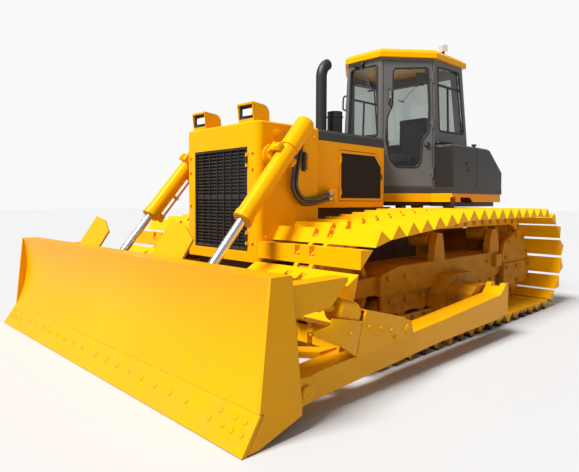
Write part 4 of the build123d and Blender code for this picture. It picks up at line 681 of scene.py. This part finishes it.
# outlines of the panes, along the wall's foot and up the wall
DOOR_PANE = [
    (0.150, 1.390), (0.570, 1.410), (0.590, 0.960), (0.580, 0.660), (0.500, 0.560), (0.480, 0.300),
    (0.440, 0.240), (0.180, 0.240), (0.110, 0.330), (0.060, 0.550), (0.080, 0.830), (0.140, 0.960),
]
SIDE_PANE = [(0.130, 0.680), (0.730, 0.690), (0.610, 1.450), (0.100, 1.430)]
REAR_PANE = [(0.150, 0.640), (1.234, 0.640), (1.200, 1.430), (0.184, 1.430)]
FRONT_PANE = [(0.070, 0.600), (0.510, 0.600), (0.490, 1.440), (0.090, 1.440)]
SEAL_RADIUS, SEAL_CORNER, SEAL_SINK = 0.011, 0.034, -0.002
# paths of rods as (along, up, out), with their radius, bend and steps of the bend
GRAB_BAR = ([(0.098, 1.16, -0.004), (0.098, 1.15, 0.045), (0.098, 0.985, 0.045), (0.098, 0.975, -0.004)],
            0.011, 0.025, 4)
DOOR_WIPER_ARM = ([(0.46, 1.24, -0.018), (0.43, 1.20, 0.012), (0.262, 1.01, 0.012)], 0.004, 0.008, 3)
DOOR_WIPER_BLADE = ([(0.215, 1.02, -0.006), (0.285, 1.00, -0.006)], 0.006)
FRONT_WIPER_ARMS = (([(0.235, 1.470, 0.034), (0.385, 1.185, 0.026)], 0.0065),
                    ([(0.262, 1.470, 0.034), (0.432, 1.150, 0.026)], 0.0065))
ENTRY_BAR = ([(0.05, 0.53, -0.004), (0.05, 0.53, 0.055), (0.34, 0.545, 0.055), (0.34, 0.545, -0.004)],
             0.014, 0.03, 4)
# boxes as two (along, up) corners, from near to far in front of the wall, and their rounding
GRIP = ((0.088, 1.03), (0.108, 1.12), 0.036, 0.060, 0.007)
DOOR_WIPER_MOTOR = ((0.44, 1.21), (0.54, 1.36), -0.060, -0.024, 0.012)
FRONT_WIPER_HOOD = ((0.150, 1.452), (0.300, 1.500), -0.002, 0.040, 0.010)
FRONT_WIPER_BLADE = ((0.372, 1.135), (0.452, 1.155), 0.004, 0.030, 0.004)
SLIDE_BARS = (((0.118, 1.215), (0.655, 1.243), -0.030, -0.004, 0.004),
              ((0.352, 0.690), (0.376, 1.220), -0.030, -0.006, 0.004))
ENTRY_STEP = ((0.045, 0.44), (0.20, 0.52), -0.002, 0.035, 0.012)
LOCK = (0.034, 0.016, 24)
LOCK_STEPS = ((0.008, -0.006), (0.012, 0.010))
LOCK_SPOT = (0.561, 0.498, -0.001)
PIVOT_CAP = (0.018, 0.020, 20)
PIVOT_SPOT = (0.43, 1.20, -0.006)


def wall_axes(corner):
    """Origin, direction along the foot, direction up the wall and outward normal of a cab wall."""
    origin = Vector((*CAB_LOW[corner], CAB_FLOOR_Z))
    foot = (Vector((*CAB_LOW[(corner + 1) % 6], CAB_FLOOR_Z)) - origin).normalized()
    rise = Vector((*CAB_HIGH[corner], CAB_EAVES_Z)) - origin
    out = foot.cross(rise).normalized()
    return origin, foot, out.cross(foot), out


def on_wall(corner, along, up, out):
    """Point on a cab wall, a distance along its foot, up the wall and in front of it."""
    origin, foot, high, normal = wall_axes(corner)
    return origin + foot * along + high * up + normal * out


def wall_rod(corner, path, *sizes):
    """Round bar along (along, up, out) points of a cab wall."""
    return rod_along([on_wall(corner, *spot) for spot in path], *sizes)


def seal(corner, pane):
    """Rubber bead round a pane, closed at the middle of its first side."""
    start = tuple((Vector(pane[0]) + Vector(pane[1])) / 2)
    path = [(*spot, SEAL_SINK) for spot in (start, *pane[1:], pane[0], start)]
    return wall_rod(corner, path, SEAL_RADIUS, SEAL_CORNER, 5)


def wall_box(corner, low, high, near, far, edge):
    """Rounded box on a cab wall between two (along, up) corners, from near to far in front of it."""
    origin, foot, up, normal = wall_axes(corner)
    box = slab((*low, near), (*high, far), edge)
    box.matrix_world = Matrix.Translation(origin) @ Matrix((foot, up, normal)).transposed().to_4x4()
    bake_place()
    return box


def with_mirror(piece):
    """A piece and its mirror image as one mesh."""
    return join([piece, mirrored(piece)])


cab_paint = coat("cab_paint", CAB_GREY, 0.38, clear=0.15, dust=0.1, dust_height=2.0, tone=0.06)
dress(cab_paint, "cab_shell", "cab_door_left", "cab_door_right")
cab_plastic = coat("cab_plastic", PLASTIC_GREY, 0.6, dust=0.0)
dress(cab_plastic, "seat_base", "dashboard", "consoles")
cab_glass = bpy.data.materials.new("cab_glass")
cab_glass.use_nodes = True
glass_shader = cab_glass.node_tree.nodes["Principled BSDF"]
glass_shader.inputs["Base Color"].default_value = (*PANE_TINT, 1)
glass_shader.inputs["Roughness"].default_value = PANE_ROUGH
glass_shader.inputs["Transmission Weight"].default_value = 1.0
glass_shader.inputs["IOR"].default_value = PANE_BEND
dress(cab_glass, "cab_windows", "cab_door_glass_left", "cab_door_glass_right")
rubber = coat("seal_rubber", STEEL_BLACK, 0.6, dust=0.05, dust_height=3.0, rub=0.0)
moulding = coat("black_moulding", MOULDING_BLACK, 0.42, dust=0.05, dust_height=3.0, rub=0.1)
bright_metal = coat("bright_metal", BRIGHT_GREY, 0.25, metal=1.0, dust=0.0, rub=0.0, tone=0.04)

seals = [seal(SIDE_WALL, SIDE_PANE), seal(REAR_WALL, REAR_PANE), seal(FRONT_WALL, FRONT_PANE)]
seals.append(mirrored(seals[0]))
settle(join(seals), "pane_seals", "chassis", rubber)
door_out = wall_axes(DOOR_WALL)[3]
door_seal = seal(DOOR_WALL, DOOR_PANE)
grab_bar = wall_rod(DOOR_WALL, *GRAB_BAR)
grip = wall_box(DOOR_WALL, *GRIP)
lock = spread(dish(drum(*LOCK), UP, *LOCK_STEPS), [(on_wall(DOOR_WALL, *LOCK_SPOT), door_out)])
motor = wall_box(DOOR_WALL, *DOOR_WIPER_MOTOR)
wiper_arm = wall_rod(DOOR_WALL, *DOOR_WIPER_ARM)
wiper_blade = wall_rod(DOOR_WALL, *DOOR_WIPER_BLADE)
pivot_cap = spread(drum(*PIVOT_CAP), [(on_wall(DOOR_WALL, *PIVOT_SPOT), door_out)])
for pieces, name, finish, slot in (
    ([door_seal], "door_seal", rubber, "charcoal_paint"),
    ([grab_bar, lock], "door_handles", moulding, "charcoal_paint"),
    ([grip], "door_grip", bright_metal, "charcoal_paint"),
    ([motor, wiper_blade, wiper_arm, pivot_cap], "door_wiper", moulding, "cab_plastic"),
):
    piece = join(pieces)
    other = mirrored(piece)
    settle(piece, name + "_left", "door_left", finish)
    settle(other, name + "_right", "door_right", finish)

front_wiper = [wall_box(FRONT_WALL, *FRONT_WIPER_HOOD)]
front_wiper += [wall_rod(FRONT_WALL, *arm) for arm in FRONT_WIPER_ARMS]
front_wiper.append(wall_box(FRONT_WALL, *FRONT_WIPER_BLADE))
settle(join(front_wiper), "front_wiper", "chassis", moulding)
slide_bars = [wall_box(SIDE_WALL, *bar) for bar in SLIDE_BARS]
slide_bars += [mirrored(bar) for bar in slide_bars]
settle(join(slide_bars), "sliding_frames", "chassis", moulding)
entry_handle = join([wall_rod(SIDE_WALL, *ENTRY_BAR), wall_box(SIDE_WALL, *ENTRY_STEP)])
settle(with_mirror(entry_handle), "entry_handles", "chassis", moulding)


# Roof lamp: square work lamp with a white lens, tipped up on the roof's left edge
# A pale grey pressed head on a bent black foot. The lens is set back in its rim.
LENS_WHITE = (0.80, 0.81, 0.80)
HEAD_GREY = (0.62, 0.63, 0.62)
FOOT_TOP = 3.092
FOOT_FADE = 0.002
LENS = ((-0.047, -0.0335, -0.034), (0.047, -0.0295, 0.034), 0.0015)
LENS_STEP = (0.007, -0.002)
LENS_SPOT = (0.592, 1.535, 3.138)
LENS_TIP, LENS_TURN = 18, -35

lamp_white = coat("lamp_white", LENS_WHITE, 0.3, clear=0.5, dust=0.0, rub=0.0, tone=0.03)
lens = dish(slab(*LENS), FORWARD, LENS_STEP)
lens_turn = Matrix.Rotation(math.radians(LENS_TIP), 4, "X") @ Matrix.Rotation(math.radians(LENS_TURN), 4, "Z")
lens.matrix_world = Matrix.Translation(LENS_SPOT) @ lens_turn
bake_place()
settle(lens, "roof_lamp_lens", "chassis", lamp_white)
lamp_shell = coat("lamp_shell", MOULDING_BLACK, 0.42, dust=0.0, rub=0.0)
shell_tree = lamp_shell.node_tree
shell_place = put(shell_tree, "ShaderNodeTexCoord")
shell_height = put(shell_tree, "ShaderNodeSeparateXYZ", {"Vector": shell_place.outputs["Object"]})
shell_mask = put(shell_tree, "ShaderNodeMapRange", {
    "Value": shell_height.outputs["Z"], "From Min": FOOT_TOP, "From Max": FOOT_TOP + FOOT_FADE})
shell_mix = put(shell_tree, "ShaderNodeMix", {"Factor": shell_mask.outputs["Result"]}, data_type="RGBA")
shell_mix.inputs["A"].default_value = (*MOULDING_BLACK, 1)
shell_mix.inputs["B"].default_value = (*HEAD_GREY, 1)
shell_tree.links.new(shell_mix.outputs["Result"], shell_tree.nodes["Principled BSDF"].inputs["Base Color"])
dress(lamp_shell, "roof_lamp")


# Hoses: two hydraulic lines a side, from the hood's port block up to the guard's plate
# Wire-braided rubber hose, crimped into zinc-plated ferrules with a hexagon at both ends.
HOSE_BLACK = (0.022, 0.022, 0.022)
ZINC = (0.62, 0.58, 0.45)
HOSE_RADIUS = 0.018
HOSE_ROUTES = [
    # x, then y, z of the inner hose, then y, z of the outer hose
    (0.566, -0.480, 1.344, -0.485, 1.295),
    (0.584, -0.831, 1.257, -0.836, 1.208),
    (0.592, -0.962, 1.319, -0.996, 1.285),
    (0.600, -1.022, 1.450, -1.071, 1.446),
    (0.604, -0.918, 1.836, -0.967, 1.832),
]
SLEEVE = (HOSE_RADIUS + 0.006, 0.055, 24, 0.0005)
NUT = (HOSE_RADIUS + 0.011, 0.020, 6, 0.0005)
FERRULE_ROUND = 0.0015
FERRULE_SINK = 0.0006

hose_cover = coat("hose_cover", HOSE_BLACK, 0.3, clear=0.6, dust=0.05, dust_height=2.0, rub=0.0, tone=0.4)
zinc = coat("zinc_fitting", ZINC, 0.35, metal=0.9, dust=0.1, dust_height=2.0, rub=0.0)
for side, mirror in SIDES:
    for number in (0, 1):
        points = [Vector((mirror * x, *places[2 * number:2 * number + 2])) for x, *places in HOSE_ROUTES]
        bpy.ops.object.select_all(action="DESELECT")
        route = bpy.data.curves.new("hose", "CURVE")
        route.dimensions = "3D"
        line = route.splines.new("NURBS")
        line.points.add(len(points) - 1)
        for knot, point in zip(line.points, points):
            knot.co = (*point, 1)
        line.order_u = 3
        line.use_endpoint_u = True
        line.resolution_u = 24
        route.bevel_depth = HOSE_RADIUS
        route.bevel_resolution = 5
        route.use_fill_caps = True
        hose = bpy.data.objects.new(f"hydraulic_hose_{side}_{number + 1}", route)
        bpy.context.collection.objects.link(hose)
        route.materials.append(hose_cover)
        ferrules = []
        for end, inner in ((points[0], points[1]), (points[-1], points[-2])):
            way = (inner - end).normalized()
            ferrule = round_edges(join([drum(*SLEEVE), drum(*NUT)]), FERRULE_ROUND)
            ferrules.append(spread(ferrule, [(end - way * FERRULE_SINK, way)]))
        settle(join(ferrules), f"hose_ferrules_{side}_{number + 1}", "chassis", zinc)
        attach(hose, "chassis")
        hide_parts(f"hose_{side}_{number + 1}")


# Blade: countersunk bolts in the cutting edge, pin bosses and the tilt link's front guard
# Thick plate in yellow that earth has dulled. The edge and its end bits are held from in front by
# countersunk bolts. The guard's plate is bolted on over the link.
BLADE_YELLOW = (0.74, 0.325, 0.001)
EDGE_TIP = (-2.710, 0.004)
EDGE_WAY = (0.5526, 0.8335)
EDGE_OUT = (0, -0.8335, 0.5526)
EDGE_BOLT = (0.018, 0.007, 20, -0.003)
EDGE_BOLT_STEPS = ((0.004, -0.0015), (0.010, 0.002))
# x and the distance above the tip
EDGE_BOLTS = [(0.13 + 0.175 * number, 0.125) for number in range(8)]
EDGE_BOLTS += [(x, 0.165) for x in (1.66, 1.79, 1.87)]
EDGE_BOLTS += [(x, 0.100) for x in (1.60, 1.72, 1.80, 1.88)]
ARM_BOSS = (0.040, 0.016, 28, -0.002)
ARM_BOSS_STEPS = ((0.010, 0.006), (0.008, -0.004))
ARM_BOSS_ROUND = 0.002
ARM_BOSS_SPOT = (1.91, -2.225, 0.200)
GUARD_PLATE = [
    (-1.690, 0.510), (-1.709, 0.478), (-1.762, 0.300), (-1.900, 0.385), (-2.140, 0.495), (-2.160, 0.520),
    (-1.990, 0.530), (-1.985, 0.572),
]
GUARD_PLATE_X, GUARD_PLATE_THICK, GUARD_PLATE_ROUND = 1.881, 0.017, 0.004
GUARD_PLATE_BOLT = 0.024
GUARD_PLATE_BOLTS = [(1.898, -1.815, 0.455), (1.900, -1.640, 0.470), (1.900, -1.520, 0.440),
                     (1.900, -1.400, 0.405), (1.900, -1.345, 0.345)]
LINK_PIN = (0.034, 0.012, 24, -0.002)
LINK_PIN_ROUND = 0.003
LINK_PIN_SPOT = (1.900, -1.200, 0.380)

blade_paint = coat("blade_paint", BLADE_YELLOW, 0.42, clear=0.03, dust=0.3, dust_height=0.45, rub=0.3,
                   tone=0.07, sheen=YELLOW_SHEEN)
dress(blade_paint, "moldboard", "blade_brackets", "rod_shields", "blade_edges", "push_arm_left",
      "push_arm_right", "tilt_cylinder", "tilt_brace")
edge_spots = [
    ((x, EDGE_TIP[0] + reach * EDGE_WAY[0], EDGE_TIP[1] + reach * EDGE_WAY[1]), EDGE_OUT)
    for x, reach in EDGE_BOLTS
]
edge_bolts = spread(dish(drum(*EDGE_BOLT), UP, *EDGE_BOLT_STEPS), both_sides(edge_spots))
settle(edge_bolts, "edge_bolts", "blade", blade_paint)
arm_boss = round_edges(dish(drum(*ARM_BOSS), UP, *ARM_BOSS_STEPS), ARM_BOSS_ROUND)
arm_bosses = spread(arm_boss, both_sides([(ARM_BOSS_SPOT, LEFTWARD)]))
settle(arm_bosses, "arm_pin_bosses", "blade", blade_paint)
trace([(GUARD_PLATE_X, y, z) for y, z in GUARD_PLATE])
bpy.ops.mesh.edge_face_add()
bpy.ops.mesh.select_mode(type="FACE")
bpy.ops.mesh.select_all(action="SELECT")
bpy.ops.mesh.extrude_region_move(TRANSFORM_OT_translate={"value": (GUARD_PLATE_THICK, 0, 0)})
bpy.ops.mesh.select_all(action="SELECT")
bpy.ops.mesh.normals_make_consistent(inside=False)
bpy.ops.object.mode_set(mode="OBJECT")
tilt_guard = with_mirror(round_edges(bpy.context.object, GUARD_PLATE_ROUND))
settle(tilt_guard, "tilt_front_guards", "blade", blade_paint)
tilt_pins = spread(drum(*LINK_PIN), both_sides([(LINK_PIN_SPOT, LEFTWARD)]))
tilt_bolts = spread(hex_bolt(GUARD_PLATE_BOLT), both_sides([(spot, LEFTWARD) for spot in GUARD_PLATE_BOLTS]))
tilt_bolts = join([tilt_bolts, round_edges(tilt_pins, LINK_PIN_ROUND)])
settle(tilt_bolts, "tilt_guard_bolts", "blade", blade_paint)


# Lift cylinders: screws round the barrel's head, and the chromed rods
# The barrel's head is closed by a cap with eight socket screws. It swings with the barrel.
CHROME = (0.82, 0.82, 0.83)
LIFT_X = 0.720
HEAD_END = (-1.000, 1.950)
LIFT_WAY = (0, 0.651, 0.759)
HEAD_SCREW = (0.010, 0.012, 12, -0.001)
HEAD_SCREW_ROUND = 0.0015
HEAD_SCREWS = 8
HEAD_FIRST = 22
HEAD_RING = 0.052

chrome = coat("rod_chrome", CHROME, 0.24, metal=1.0, dust=0.0, rub=0.0, tone=0.02, grain=0.0)
dress(chrome, "lift_rod_left", "lift_rod_right")
for side, mirror in SIDES:
    screws = []
    for number in range(HEAD_SCREWS):
        turn = math.radians(360 / HEAD_SCREWS * number + HEAD_FIRST)
        across, along = HEAD_RING * math.cos(turn), HEAD_RING * math.sin(turn)
        y, z = HEAD_END[0] - along * LIFT_WAY[2], HEAD_END[1] + along * LIFT_WAY[1]
        screws.append(((mirror * LIFT_X + across, y, z), LIFT_WAY))
    head_screws = spread(round_edges(drum(*HEAD_SCREW), HEAD_SCREW_ROUND), screws)
    settle(head_screws, "head_screws_" + side, "barrel_" + side, panel_paint)


# Guard side: blank plate with four rivets, and the ribbed gaiter between hoses and barrel
# The plate is thin painted sheet. The gaiter is moulded rubber over a cable end.
BLANK_PLATE = ((0.5495, -1.240, 1.820), (0.552, -1.100, 1.890), 0.001)
RIVET = (0.004, 0.0035, 10, -0.0005)
RIVETS = [(0.552, y, z) for y in (-1.230, -1.110) for z in (1.828, 1.882)]
GAITER_CORE = ((0.549, -0.884, 1.535), (0.573, -0.846, 1.715), 0.004)
GAITER_RIB = ((0.549, -0.896), (0.588, -0.834), 0.004)
GAITER_RIBS, GAITER_FIRST, GAITER_STEP, GAITER_RIB_HIGH = 7, 1.556, 0.022, 0.011

rivets = [(spot, LEFTWARD) for spot in RIVETS]
blank_plate = join([slab(*BLANK_PLATE), spread(drum(*RIVET), rivets)])
settle(with_mirror(blank_plate), "blank_plates", "chassis", panel_paint)
gaiter = [slab(*GAITER_CORE)]
for number in range(GAITER_RIBS):
    z = GAITER_FIRST + GAITER_STEP * number
    low, high, rounding = GAITER_RIB
    gaiter.append(slab((*low, z), (*high, z + GAITER_RIB_HIGH), rounding))
settle(with_mirror(join(gaiter)), "ribbed_gaiters", "chassis", moulding)


# Side boxes and fuel tank: filler caps, lid bolts and the joint between tank and battery box
# Folded steel boxes in the cab's enamel, painted much darker than the cab for the shade that falls on them.
# Each has a capped filler on top.
BOX_SHADED_GREY = (0.024, 0.025, 0.023)
CAP, CAP_ROUND = (0.030, 0.022, 24, 0.022), 0.005
CAP_NECK = (0.016, 0.030, 16, -0.002)
CAP_SPOT = (0.880, 1.800, 1.925)
LID_BOLT = 0.020
LID_BOLTS = [(0.948, 1.500, 1.720), (0.948, 1.545, 1.640)]
BOX_JOINTS = (((0.9475, 1.748, 1.435), (0.9500, 1.753, 1.915), 0.0008),
              ((0.700, 1.748, 1.9245), (0.942, 1.753, 1.927), 0.0008))

# the boxes' grey is darkened as painted shade
box_paint = coat("box_paint", BOX_SHADED_GREY, 0.34, clear=0.15, dust=0.1, dust_height=2.0, tone=0.08)
dress(box_paint, "side_box_left", "side_box_right", "fuel_tank")
cap = join([round_edges(drum(*CAP), CAP_ROUND), drum(*CAP_NECK)])
settle(spread(cap, both_sides([(CAP_SPOT, UP)])), "filler_caps", "chassis", moulding)
lid_bolts = spread(hex_bolt(LID_BOLT), both_sides([(spot, LEFTWARD) for spot in LID_BOLTS]))
settle(lid_bolts, "lid_bolts", "chassis", moulding)
box_joints = join([slab(*joint) for joint in BOX_JOINTS])
settle(with_mirror(box_joints), "box_joints", "chassis", rubber)


# Deck underframe: black channels that carry the floor deck over the tracks
# Folded channels and a round stay are welded under the deck and hidden behind its skirt.
CHANNELS = (((0.800, 1.200, 1.205), (0.880, 2.380, 1.262), 0.006),
            ((0.640, 1.200, 1.210), (0.930, 1.255, 1.262), 0.006))
DECK_STAY = ([(0.262, 0.740, 1.238), (0.640, 1.222, 1.238)], 0.024)

channels = join([*(slab(*channel) for channel in CHANNELS), rod_along(*DECK_STAY)])
settle(with_mirror(channels), "deck_channels", "chassis", black_steel)


# Rear work lamps: small black lamps on brackets under the roof's rear corners
# Moulded housings, each with its face set back in a rim.
REAR_LAMP = ((0.572, 1.956, 2.970), (0.652, 2.010, 3.036), 0.008)
REAR_LAMP_STEP = (0.007, -0.006)
REAR_BRACKET = ((0.602, 1.940, 2.985), (0.622, 1.960, 3.020), 0.002)
BACKWARD = (0, 1, 0)

rear_lamp = join([dish(slab(*REAR_LAMP), BACKWARD, REAR_LAMP_STEP), slab(*REAR_BRACKET)])
settle(with_mirror(rear_lamp), "rear_lamps", "chassis", moulding)


# Seat: foam cushion and back under black vinyl, with two sewn channels each
# The vinyl is sewn in panels and pulled over shaped foam, so the panels swell between their seams.
VINYL_DEEP = (0.014, 0.014, 0.015, 1)
VINYL_LIGHT = (0.030, 0.030, 0.031, 1)
SEAT_LOW, SEAT_HIGH = (-0.228, 1.415, 1.7605), (0.228, 1.788, 1.868)
BACK_LOW, BACK_HIGH = (-0.213, 1.782, 1.835), (0.213, 1.890, 2.388)
SEAT_CHANNELS = (-0.09, 0.09)
BACK_CHANNELS = (-0.085, 0.085)
CUSHION_ROUND = 0.030
CUSHION_GRID = 0.009
PRESSURE = 4.0
SWELL_FRAMES = 20
SWELL_CAP = 0.011
CHANNEL_DEPTH = 0.007
CHANNEL_WIDTH = 0.011
CHANNEL_FACING = 0.3


def make_vinyl_group():
    """Fine pebbled grain and a slow change of gloss, as a height and a mask."""
    tree, entry, leave = new_group(
        "vinyl_grain", [("Scale", 900.0)], [("Height", "NodeSocketFloat"), ("Gloss", "NodeSocketFloat")])
    place = put(tree, "ShaderNodeTexCoord")
    pebbles = put(tree, "ShaderNodeTexVoronoi", {
        "Vector": place.outputs["Object"], "Scale": entry.outputs["Scale"]})
    cloud = put(tree, "ShaderNodeTexNoise", {"Vector": place.outputs["Object"], "Scale": 9.0, "Detail": 4.0})
    tree.links.new(pebbles.outputs["Distance"], leave.inputs["Height"])
    tree.links.new(cloud.outputs["Fac"], leave.inputs["Gloss"])
    return tree


vinyl = bpy.data.materials.new("seat_vinyl")
vinyl.use_nodes = True
vinyl_tree = vinyl.node_tree
vinyl_shader = vinyl_tree.nodes["Principled BSDF"]
grain = put(vinyl_tree, "ShaderNodeGroup", node_tree=make_vinyl_group())
pebble = put(vinyl_tree, "ShaderNodeBump", {
    "Height": grain.outputs["Height"], "Strength": 0.25, "Distance": 0.0004})
dull = put(vinyl_tree, "ShaderNodeMapRange", {"Value": grain.outputs["Gloss"], "To Min": 0.38, "To Max": 0.58})
vinyl_tone = put(vinyl_tree, "ShaderNodeMix", {"Factor": grain.outputs["Gloss"]}, data_type="RGBA")
vinyl_tone.inputs["A"].default_value = VINYL_DEEP
vinyl_tone.inputs["B"].default_value = VINYL_LIGHT
vinyl_tree.links.new(vinyl_tone.outputs["Result"], vinyl_shader.inputs["Base Color"])
vinyl_tree.links.new(dull.outputs["Result"], vinyl_shader.inputs["Roughness"])
vinyl_tree.links.new(pebble.outputs["Normal"], vinyl_shader.inputs["Normal"])


def cushion(low, high, name, face, channels):
    """Foam pad that cloth pressure swells between its corners. Channels are pressed into one face."""
    pad = slab(low, high, CUSHION_ROUND, 4)
    grid = pad.modifiers.new("grid", "REMESH")
    grid.mode = "VOXEL"
    grid.voxel_size = CUSHION_GRID
    bpy.ops.object.modifier_apply(modifier=grid.name)
    start = [vertex.co.copy() for vertex in pad.data.vertices]
    stuffing = pad.modifiers.new("stuffing", "CLOTH")
    stuffing.settings.use_pressure = True
    stuffing.settings.uniform_pressure_force = PRESSURE
    stuffing.settings.effector_weights.gravity = 0
    for number in range(1, SWELL_FRAMES + 1):
        bpy.context.scene.frame_set(number)
    bpy.ops.object.modifier_apply(modifier=stuffing.name)
    bpy.context.scene.frame_set(1)
    for vertex, was in zip(pad.data.vertices, start):
        move = vertex.co - was
        if move.length > SWELL_CAP:
            vertex.co = was + move.normalized() * SWELL_CAP
        vertex.co.z = max(vertex.co.z, low[2])
    smooth = pad.modifiers.new("smooth", "SUBSURF")
    smooth.levels = smooth.render_levels = 1
    bpy.ops.object.modifier_apply(modifier=smooth.name)
    for vertex in pad.data.vertices:
        if vertex.normal.dot(face) > CHANNEL_FACING:
            near = min(abs(vertex.co.x - channel) for channel in channels)
            if near < CHANNEL_WIDTH:
                vertex.co -= face * CHANNEL_DEPTH * (1 - (near / CHANNEL_WIDTH) ** 2)
    settle(pad, name, "chassis", vinyl)
    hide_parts("seat_cushions")


cushion(SEAT_LOW, SEAT_HIGH, "seat_pad", Vector(UP), SEAT_CHANNELS)
cushion(BACK_LOW, BACK_HIGH, "seat_back", Vector(FORWARD), BACK_CHANNELS)
